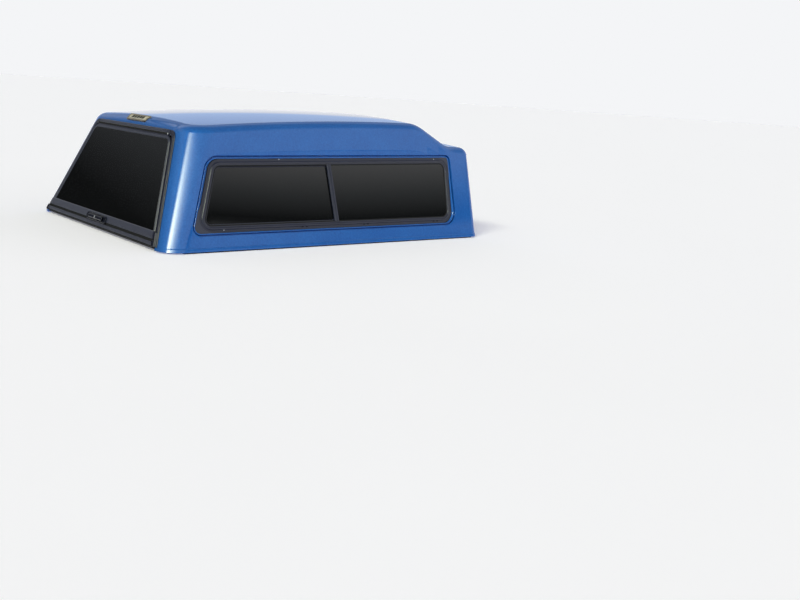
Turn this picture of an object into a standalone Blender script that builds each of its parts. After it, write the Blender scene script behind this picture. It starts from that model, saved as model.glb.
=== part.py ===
"""Raised-roof canopy (topper) for a mid-size pickup bed.

A moulded glass-fibre shell with side sliding windows, a fixed front window and a
top-hinged rear door held up by two gas struts.

Metres, +Z up, +Y towards the cab, +X the right-hand side.  The origin is under the
middle of the canopy, on the bed rails that it rests on.
"""
import bpy
import bmesh
import numpy as np
from math import atan, cos, pi, radians, sin, tan
from mathutils import Matrix, Vector

# Overall sizes
LENGTH = 2.012            # rail of the rear door to the front window's frame
BASE_WIDTH = 1.564        # over the side walls at the base
SIDE_SLOPE = 0.360        # inward lean of the side walls, per metre of height
REAR_SLOPE = 0.381        # forward lean of the rear door, per metre of height
FRONT_SLOPE = 0.075       # forward lean of the front wall, per metre of height
CROWN_HEIGHT = 0.6341     # highest point of the roof above the base
WALL = 0.006              # thickness of the moulding
GAP = 0.0003              # between pieces that touch

SIDE_ANGLE = atan(SIDE_SLOPE)
REAR_ANGLE = atan(REAR_SLOPE)
FRONT_ANGLE = atan(FRONT_SLOPE)

# Foam strip and foot of the shell
SEAL_THICK = 0.006
SEAL_WIDTH = 0.040
FLANGE_WIDTH = 0.055
FRONT_FLANGE_WIDTH = 0.040
FLANGE_THICK = 0.008
LIP_HEIGHT = 0.016
LIP_PROUD = 0.0025

# Roof form
CROWN_BACK = 1.485        # highest point of the roof, forward of the rear base edge
CROWN_BEND_LONG = 0.0328  # fall of the roof along its length, per square metre
CROWN_BEND_ACROSS = 0.0664  # fall of the roof across its width, per square metre
STEP_START = LENGTH - 0.372  # start of the slope down to the cab, forward of the rear base edge
STEP_LENGTH = 0.205
STEP_DROP = 0.115
STEP_SOFTNESS = 0.045
REAR_CORNER = 0.100       # corner radius in plan at the base
REAR_CORNER_GROWTH = 0.072  # growth of that radius, per metre of height
FRONT_CORNER = 0.050      # corner radius in plan, all the way up
SIDE_EDGE = 0.0575        # radii between the walls and the roof
REAR_EDGE = 0.065
FRONT_EDGE = 0.045

# Rear door opening, in the plane of the door: v runs up it from the hinge axis
HEADER = 0.1191           # from the crown of the roof down to the hinge axis
DOOR_PILLAR = 0.1226      # from the side wall's line to the jamb, level with the hinge axis
HINGE_HEIGHT = CROWN_HEIGHT - HEADER
DOOR_FOOT = -HINGE_HEIGHT / cos(REAR_ANGLE)  # the base of the shell, on the same scale
JAMB_HALF_TOP = BASE_WIDTH / 2 - SIDE_SLOPE * HINGE_HEIGHT - DOOR_PILLAR
JAMB_TAPER = 0.4000       # growth of that half-width per metre down the door
JAMB_TOP = 0.022
JAMB_BOTTOM = DOOR_FOOT + 0.0151
JAMB_RADIUS = 0.055
JAMB_FACE = 0.0265        # width of the jamb's outer flange
JAMB_METAL = 0.003
JAMB_DEPTH = 0.0245
JAMB_STOP = 0.018         # width of the inner stop lip
DOOR_PLAY = 0.005         # running gap round the door

# Door
AXIS_PROUD = 0.0085       # hinge axis outward of the rear face
KNUCKLE_RADIUS = 0.004
HINGE_HALF_LENGTH = JAMB_HALF_TOP - 0.062
HINGE_WEB = 0.0045        # from the axis up to the plate's foot on the jamb
HINGE_CHAMFER = 0.003
LEAF_HALF_THICK = 0.003
LEAF_LAP = 0.004          # of the door's hinge leaf over the frame
LEAF_REACH = 0.0045       # of the leaf above the frame, up to the knuckle
DOOR_TOP = -0.009
DOOR_RING_BOTTOM = DOOR_FOOT + 0.0331
DOOR_BACK = -0.016
DOOR_FACE = 0.008
DOOR_BORDER = 0.052       # black border seen round the glass
DOOR_TUBE = 0.030
DOOR_LOW_RADIUS = 0.034
GLASS_THICK = 0.004
RAIL_TOP = DOOR_FOOT + 0.0851
RAIL_BOTTOM = DOOR_FOOT + 0.0106
RAIL_PROUD = 0.018
RAIL_RIDGE = 0.022
RIDGE_LEVEL = DOOR_FOOT + 0.0301
RIB_COUNT = 2
RIB_PITCH = 0.006
RIB_START = 0.009         # below the ridge
RIB_HALF = 0.0015
RIB_DEPTH = 0.002
RIDGE_FOOT = 0.005        # half-heights of the ridge at its foot and its tip
RIDGE_TIP = 0.002
RAIL_SHOULDER = 0.006
CAP_THICK = 0.010
CAP_LAP = 0.002           # of the rail's end cap past the jamb's outer edge
CAP_RADIUS_LOW = 0.010
CAP_RADIUS_HIGH = 0.014
BULB_DEEP = 0.005         # of the rubber strip under the rail
BULB_FRONT = 0.004
BULB_BACK = -0.012
OPEN_ANGLE = 75.0

# T-handle
HANDLE_LEVEL = DOOR_FOOT + 0.0561
HANDLE_HALF = 0.085
PLATE_HALF_LENGTH = 0.112
PLATE_HALF_HEIGHT = 0.020
PLATE_THICK = 0.0045
PLATE_BEVEL = 0.003
WELL_MARGIN = 0.012       # of the well past the end of the grip
WELL_HALF_HEIGHT = 0.014
WELL_FLOOR = 0.0015
GRIP_LOW = 0.0065         # from the plate's seat to the underside of the grip
GRIP_THICK = 0.0060
GRIP_HALF_HEIGHT = 0.010
GRIP_BEVEL = 0.0035
HUB_RADIUS = 0.011
LOCK_RADIUS = 0.0075
LOCK_PROUD = 0.0010

# Slam latches and the pins that they catch
LATCH_LEVEL = DOOR_FOOT + 0.0611
LATCH_HALF = 0.025
LATCH_BACK = -0.040
LATCH_RADIUS = 0.005
LATCH_PLAY = 0.0065       # between the latch and the jamb's stop lip
SLOT_HALF = 0.006
SLOT_DEPTH = 0.012
STRIKER_HALF = 0.016
STRIKER_THICK = 0.014
STRIKER_PIN_RADIUS = 0.0035

# Gas struts, in the door plane's own directions, from the hinge axis
STRUT_DOOR = (JAMB_HALF_TOP - 0.032, -0.110, -0.049)
STRUT_SHELL = (JAMB_HALF_TOP + 0.066, -0.330, -0.100)
STRUT_TUBE_RADIUS = 0.009
STRUT_ROD_RADIUS = 0.004
STRUT_BORE_PLAY = 0.0006
STRUT_SHOWING = 0.0412  # of the rod outside its tube when the door is shut
STRUT_ROD_HIDDEN = 0.150  # from the door's pivot back to the rod's inner end
TUBE_MOUTH_RADIUS = 0.0065
NECK_START = 0.016        # along the tube from its pivot: neck, barrel and start of the bore
NECK_RADIUS = 0.005
BARREL_START = 0.026
BORE_START = 0.040
STEM_RADIUS = 0.0033
EYE_RADIUS = 0.009
EYE_THICK = 0.008
PIN_RADIUS = 0.004
PIN_PLAY = 0.0005
PIN_PAST_EYE = 0.0055     # of the tube's pin past the middle of its eye
PIN_IN_EAR = 0.0015
BRACKET_METAL = 0.003
BRACKET_HALF_WIDTH = 0.012
BRACKET_FOOT_INSET = 0.006
DOOR_BRACKET_FOOT = 0.0085
EAR_PAST_PIN = 0.010
SHELL_EAR = 0.015         # from the middle of the tube's eye out to its bracket
DOOR_EAR = 0.0200         # from the middle of the rod's eye out to its bracket
OPEN_PIVOT_PLAY = 0.0060  # between the rod's eye and the end of the door's pin

# Side windows: forward of the rear base edge and up from the base
RECESS_DEPTH = 0.010
RECESS_REAR_LOW = 0.113
RECESS_REAR_LEAN = 0.387
RECESS_LOW = 0.070
RECESS_HIGH_REAR = CROWN_HEIGHT - 0.2001
RECESS_HIGH_FRONT = CROWN_HEIGHT - 0.1841
RECESS_FRONT = LENGTH - 0.209  # at the base; its front edge leans as the front wall does
RECESS_RADII = (0.040, 0.090, 0.030, 0.085)
FRAME_INSET = 0.013
FRAME_FACE = 0.036
FRAME_PIPE = 0.022
FRAME_PROUD = 0.008
FRAME_DEPTH = 0.030
MULLION_PLACE = LENGTH / 2 - 0.022
MULLION_WIDTH = 0.032
SASH_FACE = 0.016
CLAMP_WIDTH = 0.018
CLAMP_THICK = 0.004

# Front window
FRONT_WINDOW_HALF = BASE_WIDTH / 2 - 0.222
FRONT_WINDOW_LOW = 0.1656 * CROWN_HEIGHT
FRONT_WINDOW_HIGH = 0.6072 * CROWN_HEIGHT
FRONT_WINDOW_RADIUS = 0.060

# High brake lamp
LAMP_HALF_LOW = 0.104     # half-length along its lower edge
LAMP_HALF_HIGH = 0.118
LAMP_HALF_HEIGHT = 0.0215
LAMP_THICK = 0.006
LAMP_TILT = 44.0          # of its face from straight up, on the rounded rear edge
LAMP_POCKET = 0.0045
LAMP_RADIUS = 0.006
LAMP_RIM = 0.007
LENS_FLOOR = -0.0015      # level of the lens's seat, from the skin
LAMP_CELLS = 5
CELL_HALF = 0.0045

# Places that follow from the sizes above
BASE_Z = SEAL_THICK + GAP
HALF_BASE = BASE_WIDTH / 2
UP_DOOR = np.array([0.0, sin(REAR_ANGLE), cos(REAR_ANGLE)])
OUT_DOOR = np.array([0.0, -cos(REAR_ANGLE), sin(REAR_ANGLE)])
HINGE_Z = BASE_Z + HINGE_HEIGHT
FRONT_FACE = FRAME_PROUD + GAP          # of the front window's frame, off the front wall
FRONT_FACE_TOP = FRONT_WINDOW_HIGH - 0.017
FRONT_Y = LENGTH / 2 - sin(FRONT_ANGLE) * FRONT_FACE_TOP - cos(FRONT_ANGLE) * FRONT_FACE
REAR_Y = (-LENGTH / 2 - REAR_SLOPE * HINGE_HEIGHT
          - RAIL_BOTTOM * UP_DOOR[1] - RAIL_PROUD * OUT_DOOR[1])
DOOR_ORIGIN = np.array([0.0, REAR_Y + REAR_SLOPE * HINGE_HEIGHT, HINGE_Z])
HINGE_AXIS = DOOR_ORIGIN + AXIS_PROUD * OUT_DOOR


# Materials

def material(name, colour, roughness, metallic=0.0, alpha=1.0, coat=0.0):
    """A Principled BSDF material; colour is linear red, green and blue."""
    made = bpy.data.materials.new(name)
    made.use_nodes = True
    shader = made.node_tree.nodes["Principled BSDF"]
    shader.inputs["Base Color"].default_value = (*colour, 1.0)
    shader.inputs["Roughness"].default_value = roughness
    shader.inputs["Metallic"].default_value = metallic
    shader.inputs["Alpha"].default_value = alpha
    shader.inputs["Coat Weight"].default_value = coat
    made.diffuse_color = (*colour, alpha)
    return made


# Mesh helpers

def mesh_object(name, verts, faces, finish, parent=None):
    """A named object from points and faces, with outward normals and smooth round parts."""
    mesh = bpy.data.meshes.new(name)
    mesh.from_pydata([tuple(map(float, v)) for v in verts], [], faces)
    work = bmesh.new()
    work.from_mesh(mesh)
    bmesh.ops.remove_doubles(work, verts=work.verts, dist=1e-5)
    bmesh.ops.recalc_face_normals(work, faces=work.faces)
    work.to_mesh(mesh)
    work.free()
    mesh.shade_smooth()
    mesh.set_sharp_from_angle(angle=radians(35))
    mesh.materials.append(finish)
    made = bpy.data.objects.new(name, mesh)
    bpy.context.collection.objects.link(made)
    made.parent = parent
    return made


def empty(name, place, matrix=None):
    """An empty that carries pieces; its place is on the joint's axis."""
    made = bpy.data.objects.new(name, None)
    bpy.context.collection.objects.link(made)
    turn = matrix.to_4x4() if matrix else Matrix()
    made.matrix_world = Matrix.Translation(Vector([float(c) for c in place])) @ turn
    return made


def rounded(corners, radii, inset=0.0, steps=6):
    """A closed outline, anticlockwise, with round corners, moved inwards by inset.

    inset is one value, or one for each edge; edge i runs from corner i to the next.
    """
    pts = np.array(corners, float)
    count = len(pts)
    insets = np.broadcast_to(np.array(inset, float), (count,))
    shifted = []
    for i in range(count):
        before, here, after = pts[i - 1], pts[i], pts[(i + 1) % count]
        d0 = (here - before) / np.linalg.norm(here - before)
        d1 = (after - here) / np.linalg.norm(after - here)
        n0 = np.array([-d0[1], d0[0]])
        n1 = np.array([-d1[1], d1[0]])
        sides = np.array([n0, n1])
        shift = np.linalg.solve(sides, [insets[i - 1], insets[i]])
        shifted.append(here + shift)
    outline = []
    for i in range(count):
        before, here, after = shifted[i - 1], shifted[i], shifted[(i + 1) % count]
        d0 = (before - here) / np.linalg.norm(before - here)
        d1 = (after - here) / np.linalg.norm(after - here)
        half = np.arccos(np.clip(d0 @ d1, -1, 1)) / 2
        radius = radii[i] - min(insets[i - 1], insets[i]) if radii[i] else 0.0
        if radii[i] and radius < 0.002:
            radius = 0.002
        if not radius:
            outline.append(tuple(here))
            continue
        bisector = (d0 + d1) / np.linalg.norm(d0 + d1)
        centre = here + bisector * radius / sin(half)
        start = here + d0 * radius / tan(half) - centre
        sweep = pi - 2 * half
        for k in range(steps + 1):
            turn = sweep * k / steps
            outline.append((centre[0] + start[0] * cos(turn) - start[1] * sin(turn),
                            centre[1] + start[0] * sin(turn) + start[1] * cos(turn)))
    return outline


def prism(outline, low, high):
    """An outline in the first two directions, drawn out between two values of the third."""
    count = len(outline)
    verts = [(a, b, low) for a, b in outline] + [(a, b, high) for a, b in outline]
    faces = [list(range(count))[::-1], list(range(count, 2 * count))]
    faces += [[i, (i + 1) % count, count + (i + 1) % count, count + i] for i in range(count)]
    return verts, faces


def ring(outline_at, section):
    """A closed frame: each (inset, level) of the section is carried round the outline."""
    loops = [[(a, b, level) for a, b in outline_at(inset)] for inset, level in section]
    return skin_loops(loops, closed=True)


def skin_loops(loops, closed):
    """Faces between loops of equal length; a closed set joins the last to the first."""
    count = len(loops[0])
    verts = [p for loop in loops for p in loop]
    faces = []
    rows = len(loops)
    for j in range(rows if closed else rows - 1):
        k = (j + 1) % rows
        for i in range(count):
            n = (i + 1) % count
            faces.append([j * count + i, j * count + n, k * count + n, k * count + i])
    if not closed:
        faces += [list(range(count))[::-1], [(rows - 1) * count + i for i in range(count)]]
    return verts, faces


def bar(section, start, end):
    """A section in the last two directions, drawn out along the first from start to end.

    start and end are each a value, or a function of the section's first coordinate.
    """
    count = len(section)
    verts = []
    for edge in (start, end):
        verts += [(edge(v) if callable(edge) else edge, v, w) for v, w in section]
    faces = [list(range(count)), list(range(count, 2 * count))[::-1]]
    faces += [[i, (i + 1) % count, count + (i + 1) % count, count + i] for i in range(count)]
    return verts, faces


def lathe(profile, steps=16):
    """A turned solid about its local X: profile is (x, radius), from one end to the other."""
    loops = []
    for x, radius in profile:
        angles = [2 * pi * k / steps for k in range(steps)]
        loops.append([(x, radius * cos(a), radius * sin(a)) for a in angles])
    return skin_loops(loops, closed=False)


def moved(solid, matrix):
    """The same solid with its points carried by a matrix."""
    verts, faces = solid
    return [tuple(matrix @ Vector([float(c) for c in v])) for v in verts], faces


def cutter(name, solid, parent=None):
    """A solid that only cuts; it is drawn as wire and isn't part of the model."""
    verts, faces = solid
    made = mesh_object(name, verts, faces, STEEL, parent)
    made.hide_render = True
    made.display_type = "WIRE"
    return made


def boolean(target, tool, operation="DIFFERENCE"):
    step = target.modifiers.new(tool.name, "BOOLEAN")
    step.operation = operation
    step.solver = "EXACT"
    step.object = tool


PAINT = material("blue_gelcoat", (0.035, 0.130, 0.420), 0.25, 0.45, coat=1.0)
BLACK_METAL = material("black_aluminium", (0.018, 0.018, 0.020), 0.38, 0.6)
BLACK_PLASTIC = material("black_plastic", (0.020, 0.020, 0.021), 0.45)
GLASS = material("privacy_glass", (0.010, 0.010, 0.012), 0.06, alpha=0.92)
RUBBER = material("foam_rubber", (0.012, 0.012, 0.012), 0.85)
STEEL = material("zinc_steel", (0.55, 0.55, 0.56), 0.35, 1.0)
SILVER = material("silver_plastic", (0.45, 0.43, 0.40), 0.35, 0.3)
LENS = material("dark_red_lens", (0.060, 0.008, 0.008), 0.15)


# Shell

def side_x(z):
    return HALF_BASE - SIDE_SLOPE * (z - BASE_Z)


def rear_y(z):
    return REAR_Y + REAR_SLOPE * (z - BASE_Z)


def front_y(z):
    return FRONT_Y + FRONT_SLOPE * (z - BASE_Z)


def soft_ramp(s):
    """Zero, then a straight climb of one to one, with a rounded start."""
    r = STEP_SOFTNESS
    return np.where(s < -r, 0.0, np.where(s > r, s, (s + r) ** 2 / (4 * r)))


def roof_z(x, y):
    """Height of the roof: crowned both ways, and stepping down to a ledge before the cab."""
    along = y - REAR_Y
    crown = CROWN_HEIGHT - CROWN_BEND_LONG * (along - CROWN_BACK) ** 2 - CROWN_BEND_ACROSS * x ** 2
    step = soft_ramp(along - STEP_START) - soft_ramp(along - STEP_START - STEP_LENGTH)
    return BASE_Z + crown - STEP_DROP / STEP_LENGTH * step


def plan(z, offset):
    """Outline of the walls at a height, as an array of points with their inward normals.

    offset moves every wall and the corners' radii inwards, at right angles to the wall.
    """
    a = side_x(z) - offset / cos(SIDE_ANGLE)
    rear = rear_y(z) + offset / cos(REAR_ANGLE)
    front = front_y(z) - offset / cos(FRONT_ANGLE)
    r_rear = REAR_CORNER + REAR_CORNER_GROWTH * (z - BASE_Z) - offset
    r_front = FRONT_CORNER - offset
    even = np.linspace(0, 1, 9)[1:-1]
    share = np.concatenate([np.linspace(0, 0.78, 7), np.linspace(0.80, 1.0, 11)])[:-1]
    points, normals, blend = [], [], []

    def add(p, n, b):
        points.append(p)
        normals.append(n)
        blend.append(b)

    def arc(cx, cy, radius, start, b0, b1):
        for k in range(7):
            t = k / 6
            angle = start + t * pi / 2
            out = np.array([cos(angle), sin(angle)])
            add(np.array([cx, cy]) + radius * out, -out, b0 + (b1 - b0) * t)

    y0, y1 = rear + r_rear, front - r_front
    for t in share[1:]:
        add(np.array([a, y0 + t * (y1 - y0)]), np.array([-1.0, 0.0]), SIDE_EDGE)
    arc(a - r_front, y1, r_front, 0.0, SIDE_EDGE, FRONT_EDGE)
    for t in even:
        add(np.array([(a - r_front) * (1 - 2 * t), front]), np.array([0.0, -1.0]), FRONT_EDGE)
    arc(-a + r_front, y1, r_front, pi / 2, FRONT_EDGE, SIDE_EDGE)
    for t in share[:0:-1]:
        add(np.array([-a, y0 + t * (y1 - y0)]), np.array([1.0, 0.0]), SIDE_EDGE)
    arc(-a + r_rear, y0, r_rear, pi, SIDE_EDGE, REAR_EDGE)
    for t in even:
        add(np.array([(r_rear - a) * (1 - 2 * t), rear]), np.array([0.0, 1.0]), REAR_EDGE)
    arc(a - r_rear, y0, r_rear, 1.5 * pi, REAR_EDGE, SIDE_EDGE)
    return np.array(points), np.array(normals), np.array(blend)


def plan_along(heights, offset):
    """The outline with its own height at each point, from two level outlines."""
    low, _, _ = plan(BASE_Z, offset)
    high, _, _ = plan(BASE_Z + CROWN_HEIGHT, offset)
    share = (heights - BASE_Z)[:, None] / CROWN_HEIGHT
    return low + (high - low) * share


def shell_solid(offset, floor, fillet_rings, roof_rings, lip):
    """Closed solid under the canopy's skin, which is moved inwards by offset.

    The walls lean in to a rounded edge, and the roof closes on a ridge line.
    """
    low, inward, edge = plan(BASE_Z, offset)
    high, _, _ = plan(BASE_Z + CROWN_HEIGHT, offset)
    lean = np.arctan(np.sum((high - low) * inward, axis=1) / CROWN_HEIGHT)
    radius = edge - offset
    corner_z = np.full(len(low), BASE_Z + CROWN_HEIGHT)
    for _ in range(8):
        at = plan_along(corner_z, offset)
        corner_z = roof_z(at[:, 0], at[:, 1]) - offset
    at = plan_along(corner_z, offset)
    tangent = radius * np.tan((pi / 2 - lean) / 2)

    loops = []
    if lip:
        grown = low - inward * LIP_PROUD * (np.abs(inward[:, :1]) > 0.2)
        grown[:, 1] = np.where(low[:, 1] < REAR_Y + REAR_CORNER, low[:, 1], grown[:, 1])
        loops.append(np.column_stack([grown, np.full(len(low), floor)]))
        grown_up = grown + (plan_along(np.full(len(low), BASE_Z + LIP_HEIGHT), offset) - low)
        loops.append(np.column_stack([grown_up, np.full(len(low), BASE_Z + LIP_HEIGHT)]))
        level = np.full(len(low), BASE_Z + LIP_HEIGHT + LIP_PROUD)
        loops.append(np.column_stack([plan_along(level, offset), level]))
    else:
        level = np.full(len(low), floor)
        loops.append(np.column_stack([plan_along(level, offset), level]))
    for k in range(fillet_rings + 1):
        turn = (pi / 2 - lean) * (1 - k / fillet_rings)
        inset = tangent - radius * np.sin(turn)
        drop = radius * (1 - np.cos(turn))
        here = at + inward * inset[:, None]
        if k == 0:
            here = plan_along(corner_z - drop, offset)
        rise = (roof_z(here[:, 0], here[:, 1]) - offset - corner_z) * k / fillet_rings
        loops.append(np.column_stack([here, corner_z - drop + rise]))
    brink = loops[-1][:, :2]
    middle = brink[:, 1].mean()
    ridge = np.column_stack([np.zeros(len(low)), middle + 0.9 * (brink[:, 1] - middle)])
    for k in range(1, roof_rings + 1):
        here = brink + (ridge - brink) * k / roof_rings
        loops.append(np.column_stack([here, roof_z(here[:, 0], here[:, 1]) - offset]))

    count = len(low)
    verts = [tuple(p) for loop in loops for p in loop]
    faces = [list(range(count))]
    for j in range(len(loops) - 1):
        for i in range(count):
            n = (i + 1) % count
            faces.append([j * count + i, j * count + n, (j + 1) * count + n, (j + 1) * count + i])
    return verts, faces


def jamb_half(v):
    """Half-width over the jamb, at a distance v up the door from the hinge axis."""
    return JAMB_HALF_TOP - JAMB_TAPER * v


def door_outline(inset, bottom=JAMB_BOTTOM):
    """The jamb's tapered outline, with its two sides and its top moved inwards."""
    corners = [(-jamb_half(bottom), bottom), (jamb_half(bottom), bottom),
               (jamb_half(JAMB_TOP), JAMB_TOP), (-jamb_half(JAMB_TOP), JAMB_TOP)]
    return rounded(corners, (0, 0, JAMB_RADIUS, JAMB_RADIUS), (0.0, inset, inset, inset))


def side_place(side):
    """Carries (forward, up the wall, outward) to the world, on the right or left wall."""
    c, s = cos(SIDE_ANGLE), sin(SIDE_ANGLE)

    def place(solid):
        verts, faces = solid
        world = [(side * (HALF_BASE - s * h + c * w), REAR_Y + f, BASE_Z + c * h + s * w)
                 for f, h, w in verts]
        return world, faces
    return place


def up_wall(height):
    """Distance up the leaning side wall for a height above the base."""
    return height / cos(SIDE_ANGLE)


def recess_rear(height):
    return RECESS_REAR_LOW + RECESS_REAR_LEAN * height


def recess_front(height):
    return RECESS_FRONT + FRONT_SLOPE * height


def recess_top(forward):
    """Height of the recess's top edge above the base at a place along it."""
    rear, front = recess_rear(RECESS_HIGH_REAR), recess_front(RECESS_HIGH_FRONT)
    share = (forward - rear) / (front - rear)
    return RECESS_HIGH_REAR + (RECESS_HIGH_FRONT - RECESS_HIGH_REAR) * share


def recess_outline(inset):
    """Outline of the window recess on the side wall, moved inwards by inset."""
    corners = [(recess_rear(RECESS_LOW), up_wall(RECESS_LOW)),
               (recess_front(RECESS_LOW), up_wall(RECESS_LOW)),
               (recess_front(RECESS_HIGH_FRONT), up_wall(RECESS_HIGH_FRONT)),
               (recess_rear(RECESS_HIGH_REAR), up_wall(RECESS_HIGH_REAR))]
    rear_bottom, front_bottom, front_top, rear_up = RECESS_RADII
    return rounded(corners, (rear_bottom, front_bottom, front_top, rear_up), inset)


def frame_outline(inset):
    """Outline of the window frame's flange, which stands off the recess's edge."""
    return recess_outline(FRAME_INSET + inset)


def front_outline(inset):
    """Outline of the front window's frame."""
    corners = [(-FRONT_WINDOW_HALF, FRONT_WINDOW_LOW), (FRONT_WINDOW_HALF, FRONT_WINDOW_LOW),
               (FRONT_WINDOW_HALF, FRONT_WINDOW_HIGH), (-FRONT_WINDOW_HALF, FRONT_WINDOW_HIGH)]
    return rounded(corners, (FRONT_WINDOW_RADIUS,) * 4, inset)


def front_place(solid):
    """Carries (sideways, up the wall, outward) to the world, on the front wall."""
    verts, faces = solid
    c, s = cos(FRONT_ANGLE), sin(FRONT_ANGLE)
    return [(-a, FRONT_Y + s * b + c * w, BASE_Z + c * b - s * w) for a, b, w in verts], faces


def lamp_outline(inset):
    """Outline of the brake lamp's face, moved inwards by inset."""
    corners = [(-LAMP_HALF_LOW, -LAMP_HALF_HEIGHT), (LAMP_HALF_LOW, -LAMP_HALF_HEIGHT),
               (LAMP_HALF_HIGH, LAMP_HALF_HEIGHT), (-LAMP_HALF_HIGH, LAMP_HALF_HEIGHT)]
    return rounded(corners, (LAMP_RADIUS,) * 4, inset)


def lamp_frame():
    """Matrix of the brake lamp: X along it, Y up its face, Z out of it, origin on the skin."""
    slope = radians(LAMP_TILT)
    normal = np.array([0.0, -sin(slope), cos(slope)])
    top_z = roof_z(np.array([0.0]), np.array([rear_y(BASE_Z + CROWN_HEIGHT)]))[0]
    corner_y = rear_y(top_z)
    reach = REAR_EDGE * tan((pi / 2 - REAR_ANGLE) / 2)
    centre = np.array([0.0, corner_y + reach, top_z - REAR_EDGE])
    point = centre + REAR_EDGE * normal
    up = np.array([0.0, cos(slope), sin(slope)])
    matrix = Matrix(((1, 0, 0), (0, up[1], normal[1]), (0, up[2], normal[2]))).to_4x4()
    return Matrix.Translation(Vector([float(c) for c in point])) @ matrix


def rear_matrix():
    """Matrix of the door plane: X across, Y up the door, Z outward."""
    return Matrix(((1, 0, 0), (0, UP_DOOR[1], OUT_DOOR[1]), (0, UP_DOOR[2], OUT_DOOR[2])))


WEB_OUT = JAMB_FACE - JAMB_METAL      # inset of the jamb's web
PIPE_IN = FRAME_PIPE + 0.004          # inner face of the window frame's web


def make_shell(rear):
    shell = mesh_object("shell", *shell_solid(0.0, BASE_Z, 6, 6, True), PAINT)
    inner = cutter("inner_space", shell_solid(WALL, BASE_Z + FLANGE_THICK, 4, 4, False))
    reach = 0.060
    for side, name in ((1, "right"), (-1, "left")):
        place = side_place(side)
        boss = prism(recess_outline(-WALL), -RECESS_DEPTH - WALL, reach)
        boolean(inner, cutter("window_boss_" + name, place(boss)))
    boolean(shell, inner)

    foot_half = HALF_BASE - FLANGE_WIDTH
    foot_rear = rear_y(BASE_Z) + WALL / cos(REAR_ANGLE)
    foot_front = FRONT_Y - FRONT_FLANGE_WIDTH
    foot = rounded([(-foot_half, foot_rear), (foot_half, foot_rear),
                    (foot_half, foot_front), (-foot_half, foot_front)],
                   (0, 0, FRONT_CORNER, FRONT_CORNER))
    boolean(shell, cutter("foot_opening", prism(foot, -0.01, BASE_Z + FLANGE_THICK + 0.001)))

    opening = door_outline(WEB_OUT - GAP, bottom=JAMB_BOTTOM - 0.08)
    boolean(shell, cutter("door_opening", prism(opening, -0.045, 0.040), rear))

    for side, name in ((1, "right"), (-1, "left")):
        place = side_place(side)
        boolean(shell, cutter("recess_" + name, place(prism(recess_outline(0), -RECESS_DEPTH, reach))))
        hole = prism(frame_outline(FRAME_PIPE - 0.0015), -reach, 0.02)
        boolean(shell, cutter("window_hole_" + name, place(hole)))
    hole = prism(front_outline(FRAME_PIPE - 0.0015), -0.04, 0.04)
    boolean(shell, cutter("front_hole", front_place(hole)))

    pocket = prism(lamp_outline(-GAP), -LAMP_POCKET, 0.03)
    boolean(shell, cutter("lamp_pocket", moved(pocket, lamp_frame())))
    return shell


def make_base_seals():
    """Foam strips under the shell's foot, where it rests on the bed rails."""
    outer = HALF_BASE - 0.006
    inner = outer - SEAL_WIDTH
    rear = rear_y(BASE_Z) + REAR_CORNER
    front = FRONT_Y - FRONT_CORNER
    for side, name in ((1, "right"), (-1, "left")):
        xs = sorted((side * inner, side * outer))
        strip = rounded([(xs[0], rear), (xs[1], rear), (xs[1], front), (xs[0], front)], (0.006,) * 4)
        mesh_object("base_seal_" + name, *prism(strip, 0.0, SEAL_THICK), RUBBER)
    y0 = FRONT_Y - 0.006 - SEAL_WIDTH
    y1 = FRONT_Y - 0.006
    half = inner - 0.001
    strip = rounded([(-half, y0), (half, y0), (half, y1), (-half, y1)], (0.006,) * 4)
    mesh_object("base_seal_front", *prism(strip, 0.0, SEAL_THICK), RUBBER)


# Rear door surround

def make_jamb(rear):
    """Three-sided extrusion: a flange on the rear face, a web and an inner stop lip."""
    section = [(0.0, GAP), (0.0, GAP + JAMB_METAL), (JAMB_FACE, GAP + JAMB_METAL),
               (JAMB_FACE, -JAMB_DEPTH + JAMB_METAL), (JAMB_FACE + JAMB_STOP, -JAMB_DEPTH + JAMB_METAL),
               (JAMB_FACE + JAMB_STOP, -JAMB_DEPTH), (WEB_OUT, -JAMB_DEPTH), (WEB_OUT, GAP)]
    loops = []
    for inset, level in section:
        outline = door_outline(inset)
        chain = outline[1:] + outline[:1]
        loops.append([(a, b, level) for a, b in chain])
    count = len(loops[0])
    rows = len(loops)
    verts = [p for loop in loops for p in loop]
    faces = []
    for j in range(rows):
        k = (j + 1) % rows
        for i in range(count - 1):
            faces.append([j * count + i, j * count + i + 1, k * count + i + 1, k * count + i])
    faces.append([j * count for j in range(rows)])
    faces.append([j * count + count - 1 for j in range(rows)][::-1])
    mesh_object("door_jamb", verts, faces, BLACK_METAL, rear)


def make_hinge_rail(rear):
    """Fixed half of the full-width hinge: a plate with a round knuckle on the axis."""
    base = GAP + JAMB_METAL + GAP
    top = AXIS_PROUD + KNUCKLE_RADIUS
    arc = []
    for k in range(9):
        turn = pi / 2 + pi * k / 8
        arc.append((KNUCKLE_RADIUS * cos(turn), AXIS_PROUD + KNUCKLE_RADIUS * sin(turn)))
    section = [(JAMB_TOP - HINGE_CHAMFER, top), *arc, (HINGE_WEB, AXIS_PROUD - KNUCKLE_RADIUS),
               (HINGE_WEB, base), (JAMB_TOP, base), (JAMB_TOP, top - HINGE_CHAMFER)]
    mesh_object("hinge_rail", *bar(section, -HINGE_HALF_LENGTH, HINGE_HALF_LENGTH), BLACK_METAL, rear)


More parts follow.
